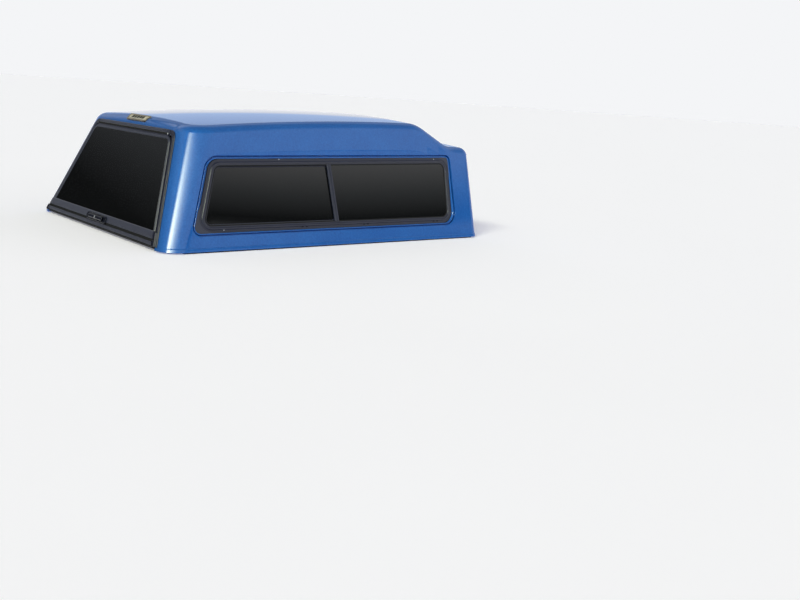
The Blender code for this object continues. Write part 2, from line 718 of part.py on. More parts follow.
def make_brake_lamp():
    """Raised lamp on the rounded rear edge of the roof: a bezel, and a lens with dark cells."""
    matrix = lamp_frame()
    levels = ((0.0, GAP - LAMP_POCKET), (0.0, LAMP_THICK - 0.003), (0.003, LAMP_THICK))
    loops = [[(a, b, level) for a, b in lamp_outline(inset)] for inset, level in levels]
    body = moved(skin_loops(loops, closed=False), matrix)
    housing = mesh_object("brake_lamp_housing", *body, SILVER)
    seat = prism(lamp_outline(LAMP_RIM), LENS_FLOOR, 0.05)
    boolean(housing, cutter("lamp_window", moved(seat, matrix)))
    pane = prism(lamp_outline(LAMP_RIM + GAP), LENS_FLOOR + GAP, LAMP_THICK - 0.0015)
    lens = mesh_object("brake_lamp_lens", *moved(pane, matrix), LENS)
    pitch = 2 * LAMP_HALF_LOW * 0.8 / (LAMP_CELLS - 1)
    for k in range(LAMP_CELLS):
        x = (k - (LAMP_CELLS - 1) / 2) * pitch
        cell = rounded([(x - CELL_HALF, -0.008), (x + CELL_HALF, -0.008),
                        (x + CELL_HALF, 0.008), (x - CELL_HALF, 0.008)], (0.003,) * 4, 0.0, 3)
        boolean(lens, cutter("lens_cell_%d" % k, moved(prism(cell, LAMP_THICK - 0.004, 0.05), matrix)))


# Side and front windows

def frame_section(flange):
    """Section of a window frame, from its flange's level: inset and level of each point."""
    face = flange + FRAME_PROUD
    back = flange - FRAME_DEPTH + RECESS_DEPTH
    return [(0.0, flange), (0.0, flange + 0.0025), (0.014, flange + 0.0035),
            (0.017, face), (FRAME_FACE, face), (FRAME_FACE, face - 0.004),
            (PIPE_IN, face - 0.004), (PIPE_IN, back), (FRAME_PIPE, back), (FRAME_PIPE, flange)]


def cut_outline(outline, at, keep_front):
    """The part of a convex outline that lies forward, or rearward, of a line."""
    kept = []
    count = len(outline)
    for i in range(count):
        a, b = outline[i], outline[(i + 1) % count]
        inside_a = (a[0] >= at) == keep_front
        inside_b = (b[0] >= at) == keep_front
        if inside_a:
            kept.append(a)
        if inside_a != inside_b:
            t = (at - a[0]) / (b[0] - a[0])
            kept.append((at, a[1] + t * (b[1] - a[1])))
    return kept


def make_side_window(side, name):
    """Framed window in the side wall: a fixed front pane and a rear pane that slides."""
    place = side_place(side)
    flange = -RECESS_DEPTH + GAP
    face = flange + FRAME_PROUD
    mesh_object("window_frame_" + name, *place(ring(frame_outline, frame_section(flange))), BLACK_METAL)

    glass_top = face - 0.004 - GAP
    glass = cut_outline(frame_outline(PIPE_IN + GAP), MULLION_PLACE, True)
    pane = prism(glass, glass_top - GLASS_THICK, glass_top)
    mesh_object("fixed_pane_" + name, *place(pane), GLASS)

    low = up_wall(RECESS_LOW) + FRAME_INSET + FRAME_FACE + 0.001
    high = up_wall(recess_top(MULLION_PLACE)) - FRAME_INSET - FRAME_FACE - 0.001
    post_rear = MULLION_PLACE - MULLION_WIDTH / 2
    post_front = MULLION_PLACE + MULLION_WIDTH / 2
    post = [(post_rear, glass_top - GLASS_THICK), (MULLION_PLACE - GAP, glass_top - GLASS_THICK),
            (MULLION_PLACE - GAP, glass_top + GAP), (post_front, glass_top + GAP),
            (post_front, face - 0.001), (post_front - 0.003, face), (post_rear + 0.003, face),
            (post_rear, face - 0.001)]
    verts = [(f, h, w) for h in (low, high) for f, w in post]
    count = len(post)
    faces = [list(range(count))[::-1], list(range(count, 2 * count))]
    faces += [[i, (i + 1) % count, count + (i + 1) % count, count + i] for i in range(count)]
    mesh_object("mullion_" + name, *place((verts, faces)), BLACK_METAL)

    sash_top = glass_top - GLASS_THICK - 0.001
    sash_back = sash_top - 0.011
    end = MULLION_PLACE + MULLION_WIDTH / 2

    def sash_outline(inset):
        corners = [(recess_rear(RECESS_LOW), up_wall(RECESS_LOW)), (end, up_wall(RECESS_LOW)),
                   (end, up_wall(recess_top(end))),
                   (recess_rear(RECESS_HIGH_REAR), up_wall(RECESS_HIGH_REAR))]
        edge = FRAME_INSET + PIPE_IN + 0.001 + inset
        radii = (RECESS_RADII[0] + 0.012, 0.045, 0.045, RECESS_RADII[3])
        return rounded(corners, radii, (edge, inset, edge, edge))

    groove = SASH_FACE - 0.006
    mid = (sash_top + sash_back) / 2
    half = GLASS_THICK / 2 + GAP
    section = [(0.0, sash_back), (0.0, sash_top), (SASH_FACE, sash_top), (SASH_FACE, mid + half),
               (groove, mid + half), (groove, mid - half), (SASH_FACE, mid - half),
               (SASH_FACE, sash_back)]
    mesh_object("sliding_sash_" + name, *place(ring(sash_outline, section)), BLACK_METAL)
    pane = prism(sash_outline(groove + GAP), mid - GLASS_THICK / 2, mid + GLASS_THICK / 2)
    mesh_object("sliding_pane_" + name, *place(pane), GLASS)

    inner_wall = -RECESS_DEPTH - WALL - GAP
    clamp = [(FRAME_PIPE - GAP - CLAMP_WIDTH, inner_wall - CLAMP_THICK),
             (FRAME_PIPE - GAP - CLAMP_WIDTH, inner_wall),
             (FRAME_PIPE - GAP, inner_wall), (FRAME_PIPE - GAP, inner_wall - CLAMP_THICK)]
    mesh_object("clamp_ring_" + name, *place(ring(frame_outline, clamp)), BLACK_METAL)


def make_front_window():
    """Fixed window in the front wall, facing the cab."""
    flange = GAP
    frame = front_place(ring(front_outline, frame_section(flange)))
    mesh_object("front_window_frame", *frame, BLACK_METAL)
    top = flange + FRAME_PROUD - 0.004 - GAP
    pane = prism(front_outline(PIPE_IN + GAP), top - GLASS_THICK, top)
    mesh_object("front_window_glass", *front_place(pane), GLASS)


# Door pieces, in the door's own directions from the hinge axis

def hung(solid):
    """Carries (across, up the door, outward of the rear face) to the hinge's own origin."""
    verts, faces = solid
    return [(a, b, c - AXIS_PROUD) for a, b, c in verts], faces


def door_ring(inset):
    """Outline of the door frame, DOOR_PLAY inside the jamb's web."""
    corners = [(-jamb_half(DOOR_RING_BOTTOM), DOOR_RING_BOTTOM),
               (jamb_half(DOOR_RING_BOTTOM), DOOR_RING_BOTTOM),
               (jamb_half(DOOR_TOP), DOOR_TOP), (-jamb_half(DOOR_TOP), DOOR_TOP)]
    side = JAMB_FACE + DOOR_PLAY + inset
    radii = (DOOR_LOW_RADIUS, DOOR_LOW_RADIUS, JAMB_RADIUS, JAMB_RADIUS)
    return rounded(corners, radii, (inset, side, inset, side))


def make_door(hinge):
    frame = [(0.0, DOOR_BACK), (0.0, DOOR_FACE - 0.003), (0.003, DOOR_FACE),
             (DOOR_BORDER - 0.002, DOOR_FACE), (DOOR_BORDER, DOOR_FACE - 0.002),
             (DOOR_BORDER, DOOR_FACE - 0.004), (DOOR_TUBE, DOOR_FACE - 0.004), (DOOR_TUBE, DOOR_BACK)]
    body = mesh_object("door_frame", *hung(ring(door_ring, frame)), BLACK_METAL, hinge)
    low, high = DOOR_TOP - LEAF_LAP, DOOR_TOP + LEAF_REACH
    under, over = DOOR_FACE - LEAF_HALF_THICK, DOOR_FACE + LEAF_HALF_THICK
    leaf = [(low, under), (low, over), (high, over), (high, under)]
    tool = cutter("hinge_leaf", hung(bar(leaf, -HINGE_HALF_LENGTH, HINGE_HALF_LENGTH)), hinge)
    boolean(body, tool, "UNION")

    top = DOOR_FACE - 0.004 - GAP
    pane = prism(door_ring(DOOR_TUBE + GAP), top - GLASS_THICK, top)
    mesh_object("door_glass", *hung(pane), GLASS, hinge)

    face = RAIL_PROUD
    front = DOOR_FACE + GAP
    section = [(RAIL_TOP, front), (RAIL_TOP, face - RAIL_SHOULDER),
               (RAIL_TOP - RAIL_SHOULDER, face - 0.002), (RIDGE_LEVEL + RIDGE_FOOT, face),
               (RIDGE_LEVEL + RIDGE_TIP, RAIL_RIDGE), (RIDGE_LEVEL - RIDGE_TIP, RAIL_RIDGE),
               (RIDGE_LEVEL - RIDGE_FOOT, face)]
    for k in range(RIB_COUNT):
        level = RIDGE_LEVEL - RIB_START - k * RIB_PITCH
        section += [(level + RIB_HALF, face), (level, face - RIB_DEPTH), (level - RIB_HALF, face)]
    section += [(RAIL_BOTTOM, face), (RAIL_BOTTOM, DOOR_BACK),
                (DOOR_RING_BOTTOM - GAP, DOOR_BACK), (DOOR_RING_BOTTOM - GAP, front)]
    side = JAMB_FACE + DOOR_PLAY

    def rail_end(v):
        return jamb_half(v) - side

    def rail_start(v):
        return side - jamb_half(v)

    rail = bar(section, rail_start, rail_end)
    mesh_object("door_bottom_rail", *hung(rail), BLACK_METAL, hinge)
    seal_top, seal_bottom = RAIL_BOTTOM - GAP, RAIL_BOTTOM - BULB_DEEP
    seal = [(seal_top, BULB_FRONT), (seal_top, BULB_BACK), (seal_bottom, BULB_BACK + 0.002),
            (seal_bottom, BULB_FRONT - 0.002)]
    half = rail_end(RAIL_BOTTOM)
    mesh_object("door_bottom_seal", *hung(bar(seal, -half, half)), RUBBER, hinge)

    for sign, name in ((1, "right"), (-1, "left")):
        low, high = RAIL_BOTTOM, RAIL_TOP
        inner = [rail_end(v) + GAP for v in (low, high)]
        outer = [jamb_half(v) + CAP_LAP for v in (low, high)]
        corners = [(inner[0], low), (outer[0], low), (outer[1], high), (inner[1], high)]
        if sign < 0:
            corners = [(-a, b) for a, b in corners][::-1]
        radii = (0, CAP_RADIUS_LOW, CAP_RADIUS_HIGH, 0)
        if sign < 0:
            radii = radii[::-1]
        cap = prism(rounded(corners, radii), DOOR_FACE + GAP, DOOR_FACE + CAP_THICK)
        mesh_object("rail_end_cap_" + name, *hung(cap), STEEL, hinge)


def rectangle(x0, x1, low, high):
    """Corners of a rectangle, anticlockwise whichever of x0 and x1 is the larger."""
    left, right = min(x0, x1), max(x0, x1)
    return [(left, low), (right, low), (right, high), (left, high)]


def capsule(half_length, half_height, steps=8):
    """A flat oval with round ends."""
    return rounded([(-half_length, -half_height), (half_length, -half_height),
                    (half_length, half_height), (-half_length, half_height)],
                   (half_height * 0.999,) * 4, 0.0, steps)


def make_handle(hinge, spindle):
    """Folding T-handle in an oval plate on the door's bottom rail."""
    seat = RAIL_PROUD + GAP
    plate = capsule(PLATE_HALF_LENGTH, PLATE_HALF_HEIGHT)
    crown = capsule(PLATE_HALF_LENGTH - PLATE_BEVEL, PLATE_HALF_HEIGHT - PLATE_BEVEL)
    loops = [[(a, b + HANDLE_LEVEL, seat) for a, b in plate],
             [(a, b + HANDLE_LEVEL, seat + PLATE_THICK / 2) for a, b in plate],
             [(a, b + HANDLE_LEVEL, seat + PLATE_THICK) for a, b in crown]]
    body = mesh_object("handle_plate", *hung(skin_loops(loops, closed=False)), BLACK_PLASTIC, hinge)
    dish = [(a, b + HANDLE_LEVEL) for a, b in capsule(HANDLE_HALF + WELL_MARGIN, WELL_HALF_HEIGHT)]
    well = prism(dish, seat + WELL_FLOOR, seat + 2 * PLATE_THICK)
    boolean(body, cutter("handle_well", hung(well), hinge))

    upright = Matrix(((0, 1, 0), (0, 0, 1), (1, 0, 0))).to_4x4()
    grip = capsule(HANDLE_HALF, GRIP_HALF_HEIGHT)
    grip_top = capsule(HANDLE_HALF - GRIP_BEVEL, GRIP_HALF_HEIGHT - GRIP_BEVEL)
    loops = [[(a, b, GRIP_LOW) for a, b in grip],
             [(a, b, GRIP_LOW + GRIP_THICK / 2) for a, b in grip],
             [(a, b, GRIP_LOW + GRIP_THICK) for a, b in grip_top]]
    grip_object = mesh_object("t_handle", *skin_loops(loops, closed=False), BLACK_PLASTIC, spindle)
    hub = lathe([(WELL_FLOOR + GAP, HUB_RADIUS), (GRIP_LOW + GRIP_THICK / 2, HUB_RADIUS)], 20)
    boolean(grip_object, cutter("handle_hub", moved(hub, upright), spindle), "UNION")
    top = GRIP_LOW + GRIP_THICK
    lock = lathe([(top + GAP, LOCK_RADIUS), (top + LOCK_PROUD - 0.0005, LOCK_RADIUS),
                  (top + LOCK_PROUD, LOCK_RADIUS - 0.0005)], 20)
    mesh_object("lock_barrel", *moved(lock, upright), STEEL, spindle)


def make_latches(hinge, rear):
    """Slam latches in the door's lower corners, and the pins on the jamb that they catch."""
    for sign, name in ((1, "right"), (-1, "left")):
        low, high = LATCH_LEVEL - LATCH_HALF, LATCH_LEVEL + LATCH_HALF
        edge = jamb_half(high) - JAMB_FACE - JAMB_STOP - LATCH_PLAY
        body = [(edge - 2 * LATCH_HALF, low), (edge, low), (edge, high), (edge - 2 * LATCH_HALF, high)]
        if sign < 0:
            body = [(-a, b) for a, b in body][::-1]
        box = prism(rounded(body, (LATCH_RADIUS,) * 4), LATCH_BACK, DOOR_BACK - GAP)
        latch = mesh_object("latch_" + name, *hung(box), STEEL, hinge)
        slot = rectangle(sign * (edge - 0.6 * 2 * LATCH_HALF), sign * (edge + 0.020),
                         LATCH_LEVEL - SLOT_HALF, LATCH_LEVEL + SLOT_HALF)
        mouth = prism(slot, LATCH_BACK - 0.010, LATCH_BACK + SLOT_DEPTH)
        boolean(latch, cutter("latch_slot_" + name, hung(mouth), hinge))

        lip = jamb_half(LATCH_LEVEL) - JAMB_FACE
        back = -JAMB_DEPTH - GAP
        foot = rectangle(sign * (lip - JAMB_STOP + 0.001), sign * (lip - 0.001),
                         LATCH_LEVEL - STRIKER_HALF, LATCH_LEVEL + STRIKER_HALF)
        striker = mesh_object("striker_" + name, *prism(foot, back - STRIKER_THICK, back), STEEL, rear)
        pin = lathe([(edge - LATCH_HALF, STRIKER_PIN_RADIUS), (lip - 0.010, STRIKER_PIN_RADIUS)], 12)
        level = LATCH_BACK + SLOT_HALF
        pin_verts = [(sign * a, b + LATCH_LEVEL, c + level) for a, b, c in pin[0]]
        boolean(striker, cutter("striker_pin_" + name, (pin_verts, pin[1]), rear), "UNION")


# Gas struts

def door_point(x, v, w):
    """World place of a point given across, up the door and outward from the hinge axis."""
    return HINGE_AXIS + np.array([x, 0.0, 0.0]) + v * UP_DOOR + w * OUT_DOOR


def opened(point):
    """Where a point of the door is when the door is fully open."""
    turn = Matrix.Rotation(radians(-OPEN_ANGLE), 3, "X")
    return HINGE_AXIS + np.array(turn @ Vector([float(c) for c in point - HINGE_AXIS]))


def strut_frame(sign):
    """Foot of the strut on the shell, its three axes, and its closed length.

    The strut swings about an axis square to its closed and its open direction, so it
    meets the door's pin at both ends of the door's travel.
    """
    foot = door_point(sign * STRUT_SHELL[0], STRUT_SHELL[1], STRUT_SHELL[2])
    head = door_point(sign * STRUT_DOOR[0], STRUT_DOOR[1], STRUT_DOOR[2])
    closed = head - foot
    wide = opened(head) - foot
    axis = np.cross(closed, wide)
    axis /= np.linalg.norm(axis)
    along = closed / np.linalg.norm(closed)
    third = np.cross(axis, along)
    return foot, (along, third, axis), float(np.linalg.norm(closed))


def make_strut(sign, name, hinge, rear):
    """A gas strut between a bracket on the jamb and a bracket on the door frame."""
    foot, axes, closed = strut_frame(sign)
    columns = Matrix([[float(v[i]) for v in axes] for i in range(3)])
    pivot = empty("strut_pivot_" + name, foot, columns)
    outboard = sign * (1 if axes[2][0] > 0 else -1)

    bore = STRUT_ROD_RADIUS + STRUT_BORE_PLAY
    mouth = closed - STRUT_SHOWING
    barrel = [(NECK_START, NECK_RADIUS), (BARREL_START, NECK_RADIUS),
              (BARREL_START + 0.002, STRUT_TUBE_RADIUS),
              (mouth - 0.004, STRUT_TUBE_RADIUS), (mouth, TUBE_MOUTH_RADIUS),
              (mouth, bore), (BORE_START, bore)]
    tube = mesh_object("strut_tube_" + name, *lathe(barrel), BLACK_METAL, pivot)
    boolean(tube, cutter("tube_eye_" + name, eye_solid(PIN_RADIUS + PIN_PLAY), pivot), "UNION")
    neck = lathe([(EYE_RADIUS - 0.0025, STEM_RADIUS), (NECK_START + 0.004, STEM_RADIUS)], 12)
    boolean(tube, cutter("tube_neck_" + name, neck, pivot), "UNION")

    profile = [(closed - STRUT_ROD_HIDDEN, STRUT_ROD_RADIUS), (closed - 0.006, STRUT_ROD_RADIUS)]
    rod = mesh_object("strut_rod_" + name, *lathe(profile), STEEL, pivot)
    head, head_faces = disc_solid(EYE_RADIUS, EYE_THICK)
    head = [(a + closed, b, c) for a, b, c in head]
    boolean(rod, cutter("rod_eye_" + name, (head, head_faces), pivot), "UNION")

    x, v, w = STRUT_SHELL[0], STRUT_SHELL[1], STRUT_SHELL[2] + AXIS_PROUD
    back = -JAMB_DEPTH - GAP
    ear = x + SHELL_EAR
    lip = jamb_half(v) - JAMB_FACE - BRACKET_FOOT_INSET
    section = [(ear, back), (lip, back), (lip, back - BRACKET_METAL),
               (ear + BRACKET_METAL, back - BRACKET_METAL), (ear + BRACKET_METAL, w - EAR_PAST_PIN),
               (ear, w - EAR_PAST_PIN)]
    bracket = angle_bracket("strut_bracket_" + name, section, v, sign, rear)
    pin = disc_solid(PIN_RADIUS, SHELL_EAR + PIN_PAST_EYE + PIN_IN_EAR)
    lift = outboard * (SHELL_EAR - PIN_PAST_EYE + PIN_IN_EAR) / 2
    pin = ([(a, b, c + lift) for a, b, c in pin[0]], pin[1])
    boolean(bracket, cutter("shell_pin_" + name, pin, pivot), "UNION")

    x, v, w = STRUT_DOOR[0], STRUT_DOOR[1], STRUT_DOOR[2]
    back = DOOR_BACK - AXIS_PROUD - GAP
    ear = x + DOOR_EAR
    foot = x + DOOR_EAR - DOOR_BRACKET_FOOT
    section = [(ear, back), (ear, w - EAR_PAST_PIN), (ear - BRACKET_METAL, w - EAR_PAST_PIN),
               (ear - BRACKET_METAL, back - BRACKET_METAL), (foot, back - BRACKET_METAL),
               (foot, back)]
    holder = angle_bracket("door_bracket_" + name, section, v, sign, hinge)
    tip = x + EYE_THICK / 2 + OPEN_PIVOT_PLAY
    stub = lathe([(tip, PIN_RADIUS), (ear - 0.001, PIN_RADIUS)], 16)
    stub = ([(sign * a, b + v, c + w) for a, b, c in stub[0]], stub[1])
    boolean(holder, cutter("door_pin_" + name, stub, hinge), "UNION")


def angle_bracket(name, section, level, sign, parent):
    """A bent strip: its section lies across the door plane, and is drawn out along the door."""
    half = BRACKET_HALF_WIDTH
    loops = [[(sign * a, level + step, c) for a, c in section] for step in (-half, half)]
    return mesh_object(name, *skin_loops(loops, closed=False), STEEL, parent)


def eye_solid(hole):
    """A flat ring round the local Z axis."""
    steps = 20
    loops = []
    for radius, level in ((hole, -EYE_THICK / 2), (EYE_RADIUS, -EYE_THICK / 2),
                          (EYE_RADIUS, EYE_THICK / 2), (hole, EYE_THICK / 2)):
        loops.append([(radius * cos(2 * pi * k / steps), radius * sin(2 * pi * k / steps), level)
                      for k in range(steps)])
    return skin_loops(loops, closed=True)


def disc_solid(radius, thick, steps=20):
    """A flat disc round the local Z axis."""
    angles = [2 * pi * k / steps for k in range(steps)]
    outline = [(radius * cos(a), radius * sin(a)) for a in angles]
    return prism(outline, -thick / 2, thick / 2)


def build():
    for old in list(bpy.data.objects):
        bpy.data.objects.remove(old)
    rear = empty("rear_plane", DOOR_ORIGIN, rear_matrix())
    hinge = empty("door_hinge", HINGE_AXIS, rear_matrix())
    spindle = empty("handle_spindle",
                    DOOR_ORIGIN + HANDLE_LEVEL * UP_DOOR + (RAIL_PROUD + GAP) * OUT_DOOR, rear_matrix())
    make_shell(rear)
    make_base_seals()
    make_jamb(rear)
    make_hinge_rail(rear)
    make_brake_lamp()
    for side, name in ((1, "right"), (-1, "left")):
        make_side_window(side, name)
    make_front_window()
    make_door(hinge)
    make_handle(hinge, spindle)
    make_latches(hinge, rear)
    for sign, name in ((1, "right"), (-1, "left")):
        make_strut(sign, name, hinge, rear)


build()
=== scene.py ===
"""Looks of a raised-roof pickup canopy: blue metallic moulding, black extrusions and privacy glass.

Metres, +Z up, +Y towards the cab, +X the right-hand side, as in the CAD frame.
"""
import bmesh
import bpy
import numpy as np
from math import atan, cos, pi, radians, sin, tan
from mathutils import Matrix


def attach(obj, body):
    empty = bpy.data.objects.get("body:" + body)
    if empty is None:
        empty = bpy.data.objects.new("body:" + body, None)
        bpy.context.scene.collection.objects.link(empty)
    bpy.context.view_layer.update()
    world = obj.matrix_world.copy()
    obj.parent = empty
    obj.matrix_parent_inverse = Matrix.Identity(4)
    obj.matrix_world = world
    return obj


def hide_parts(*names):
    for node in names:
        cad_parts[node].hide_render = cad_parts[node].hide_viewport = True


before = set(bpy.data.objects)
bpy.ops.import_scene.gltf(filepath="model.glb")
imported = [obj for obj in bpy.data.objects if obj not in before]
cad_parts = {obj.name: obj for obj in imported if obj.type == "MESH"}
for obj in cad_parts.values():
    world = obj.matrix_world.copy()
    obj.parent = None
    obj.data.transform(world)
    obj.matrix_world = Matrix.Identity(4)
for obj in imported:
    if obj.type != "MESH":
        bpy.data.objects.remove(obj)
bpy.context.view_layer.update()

# Sizes of the moulding, as the CAD model has them
LENGTH = 2.012
HALF_BASE = 0.782
SIDE_SLOPE = 0.360
REAR_SLOPE = 0.381
FRONT_SLOPE = 0.075
CROWN_HEIGHT = 0.6341
RIDGE_SHARE = 0.9         # of the roof's length, in the line along its middle where the grid closes
SKIN_IN = 0.0003          # of the fine skin here, inside the CAD model's
WALL = 0.006
GAP = 0.0003
BASE_Z = 0.0063
FLANGE_WIDTH = 0.055
FRONT_FLANGE_WIDTH = 0.040
FLANGE_THICK = 0.008
LIP_HEIGHT = 0.016
LIP_PROUD = 0.0025
LIP_PROFILE = ((0.0, 0.6), (0.0012, 1.0), (LIP_HEIGHT - 0.002, 1.0), (LIP_HEIGHT - 0.0006, 0.85),
               (LIP_HEIGHT + 0.0004, 0.45), (LIP_HEIGHT + 0.0012, 0.15))  # height, share of LIP_PROUD
CROWN_BACK = 1.485
CROWN_BEND_LONG = 0.0328
CROWN_BEND_ACROSS = 0.0664
STEP_START = LENGTH - 0.372
STEP_LENGTH = 0.205
STEP_DROP = 0.115
STEP_SOFTNESS = 0.045
REAR_CORNER = 0.100
REAR_CORNER_GROWTH = 0.072
FRONT_CORNER = 0.050
SIDE_EDGE = 0.0575
REAR_EDGE = 0.065
FRONT_EDGE = 0.045
SIDE_ANGLE = atan(SIDE_SLOPE)
REAR_ANGLE = atan(REAR_SLOPE)
FRONT_ANGLE = atan(FRONT_SLOPE)

# Sizes of the rear door and its surround
HINGE_HEIGHT = CROWN_HEIGHT - 0.1191
DOOR_FOOT = -HINGE_HEIGHT / cos(REAR_ANGLE)
JAMB_HALF_TOP = HALF_BASE - SIDE_SLOPE * HINGE_HEIGHT - 0.1226
JAMB_TAPER = 0.4000
JAMB_TOP = 0.022
JAMB_BOTTOM = DOOR_FOOT + 0.0151
JAMB_RADIUS = 0.055
JAMB_FACE = 0.0265
JAMB_METAL = 0.003
JAMB_DEPTH = 0.0245
JAMB_STOP = 0.018
DOOR_PLAY = 0.005
AXIS_PROUD = 0.0085
KNUCKLE_RADIUS = 0.004
HINGE_HALF_LENGTH = JAMB_HALF_TOP - 0.062
DOOR_TOP = -0.009
DOOR_RING_BOTTOM = DOOR_FOOT + 0.0331
DOOR_BACK = -0.016
DOOR_FACE = 0.008
DOOR_BORDER = 0.015
DOOR_TUBE = 0.030
GLASS_THICK = 0.004
RAIL_TOP = DOOR_FOOT + 0.0851
RAIL_BOTTOM = DOOR_FOOT + 0.0106
RAIL_PROUD = 0.018
RIDGE_LEVEL = DOOR_FOOT + 0.0490
HANDLE_LEVEL = DOOR_FOOT + 0.0561
HANDLE_HALF = 0.085
PLATE_HALF_LENGTH = 0.120
PLATE_HALF_HEIGHT = 0.0195
PLATE_THICK = 0.0045
WELL_FLOOR = 0.0015
GRIP_LOW = 0.0065
GRIP_THICK = 0.0060
GRIP_HALF_HEIGHT = 0.010
HUB_RADIUS = 0.011
WELL_MARGIN = 0.012
WELL_HALF_HEIGHT = 0.014

# Sizes of the windows and the brake lamp
RECESS_DEPTH = 0.010
RECESS_REAR_LOW = 0.113
RECESS_REAR_LEAN = 0.387
RECESS_LOW = 0.070
RECESS_HIGH_REAR = CROWN_HEIGHT - 0.2001
RECESS_HIGH_FRONT = CROWN_HEIGHT - 0.1841
RECESS_FRONT = LENGTH - 0.209
RECESS_RADII = (0.040, 0.090, 0.030, 0.085)
FRAME_RADII = (0.078, 0.092, 0.078, 0.088)
FRAME_INSET = 0.014
FRAME_SET_BACK = 0.008
FRAME_SET_IN = 0.014
FRAME_FACE = 0.034
FRAME_PIPE = 0.022
FRAME_PROUD = 0.008
FRAME_DEPTH = 0.030
GLASS_SEAT = 0.004        # below the frame's face
PIPE_IN = FRAME_PIPE + 0.004
HOLE_INSET = FRAME_PIPE - 0.0015  # of the wall's hole, inside the frame's edge
MULLION_PLACE = LENGTH / 2 - 0.022
MULLION_WIDTH = 0.027
SASH_FACE = 0.016
SIDE_STEPS = 16           # of each round corner of a side window's outlines
SCREWS = ((0.3212, 0.1018), (0.6876, 0.4474), (1.7169, 0.4540))  # forward and up the wall
SCREW_HEAD = ((0.0, 0.0034), (0.0009, 0.0034), (0.0015, 0.0026), (0.0017, 0.0012))
WEEP_SLOTS = (0.7700, 0.7950, 1.1580, 1.1830, 1.6460, 1.6710)    # forward
WEEP_LEVEL = 0.1010
WEEP_HALF = (0.0065, 0.0022)
FRONT_WINDOW_HALF = HALF_BASE - 0.222
FRONT_WINDOW_LOW = 0.1656 * CROWN_HEIGHT
FRONT_WINDOW_HIGH = 0.6072 * CROWN_HEIGHT
FRONT_WINDOW_RADIUS = 0.060
LAMP_HALF_LOW = 0.104
LAMP_HALF_HIGH = 0.118
LAMP_HALF_HEIGHT = 0.0215
LAMP_THICK = 0.006
LAMP_TILT = radians(39.0)
LAMP_POCKET = 0.0045
LAMP_RADIUS = 0.006
LAMP_RIM = 0.0085
LENS_FLOOR = -0.0015
CELLS = 5
CELL_PITCH = 0.0290
CELL_HALF = 0.0122
CELL_LOW = -0.0070
CELL_HIGH = 0.0120

# Places that follow
UP_DOOR = np.array([0.0, sin(REAR_ANGLE), cos(REAR_ANGLE)])
OUT_DOOR = np.array([0.0, -cos(REAR_ANGLE), sin(REAR_ANGLE)])
HINGE_Z = BASE_Z + HINGE_HEIGHT
FRONT_Y = (LENGTH / 2 - sin(FRONT_ANGLE) * (FRONT_WINDOW_HIGH - 0.017)
           - cos(FRONT_ANGLE) * (FRAME_PROUD + GAP))
REAR_Y = (-LENGTH / 2 - REAR_SLOPE * HINGE_HEIGHT
          - RAIL_BOTTOM * UP_DOOR[1] - RAIL_PROUD * OUT_DOOR[1])
DOOR_ORIGIN = np.array([0.0, REAR_Y + REAR_SLOPE * HINGE_HEIGHT, HINGE_Z])


# Materials

def linear(code):
    """Linear red, green, blue and alpha of an sRGB hex colour."""
    channels = np.array([int(code[k:k + 2], 16) for k in (1, 3, 5)]) / 255
    curve = np.where(channels <= 0.04045, channels / 12.92, ((channels + 0.055) / 1.055) ** 2.4)
    return (*curve, 1.0)


def add(tree, kind, values=None, links=None, feeds=None, **settings):
    """Adds one node: its properties, the values of its sockets, what feeds them and what it feeds.

    Returns the first of its outputs that is in use.
    """
    made = tree.nodes.new("ShaderNode" + kind)
    for key, value in settings.items():
        setattr(made, key, value)
    for key, value in (values or {}).items():
        made.inputs[key].default_value = value
    for key, source in (links or {}).items():
        tree.links.new(source, made.inputs[key])
    output = next(socket for socket in made.outputs if socket.enabled)
    if feeds:
        tree.links.new(output, feeds)
    return output


def material(name, **sockets):
    """A new material, its node tree, its shader's sockets with their values, and Object coordinates."""
    made = bpy.data.materials.new(name)
    made.use_nodes = True
    tree = made.node_tree
    shader = tree.nodes["Principled BSDF"].inputs
    for key, value in sockets.items():
        shader[key.replace("_", " ")].default_value = value
    return made, tree, shader, add(tree, "TexCoord").node.outputs["Object"]


def per_metre(millimetres):
    """Scale of a pattern whose cells are that many millimetres across."""
    return 1000.0 / millimetres


def mottled(name, across, detail, dark, light, rough=None, grain=None, bump=None, **sockets):
    """A material whose colour drifts between two, with noise that is so many millimetres across.

    The same noise may take the roughness between two values.  Bump is a strength and a
    height in metres, from that noise or from a grain of its own size and detail.
    """
    made, tree, shader, place = material(name, **sockets)
    drift = add(tree, "TexNoise", {"Scale": per_metre(across), "Detail": detail}, {"Vector": place})
    add(tree, "Mix", {"A": linear(dark), "B": linear(light)}, {"Factor": drift}, shader["Base Color"],
        data_type="RGBA")
    if rough:
        add(tree, "MapRange", {"To Min": rough[0], "To Max": rough[1]}, {"Value": drift},
            shader["Roughness"])
    if grain:
        drift = add(tree, "TexNoise", {"Scale": per_metre(grain[0]), "Detail": grain[1]}, {"Vector": place})
    if bump:
        add(tree, "Bump", {"Strength": bump[0], "Distance": bump[1]}, {"Height": drift}, shader["Normal"])
    return made


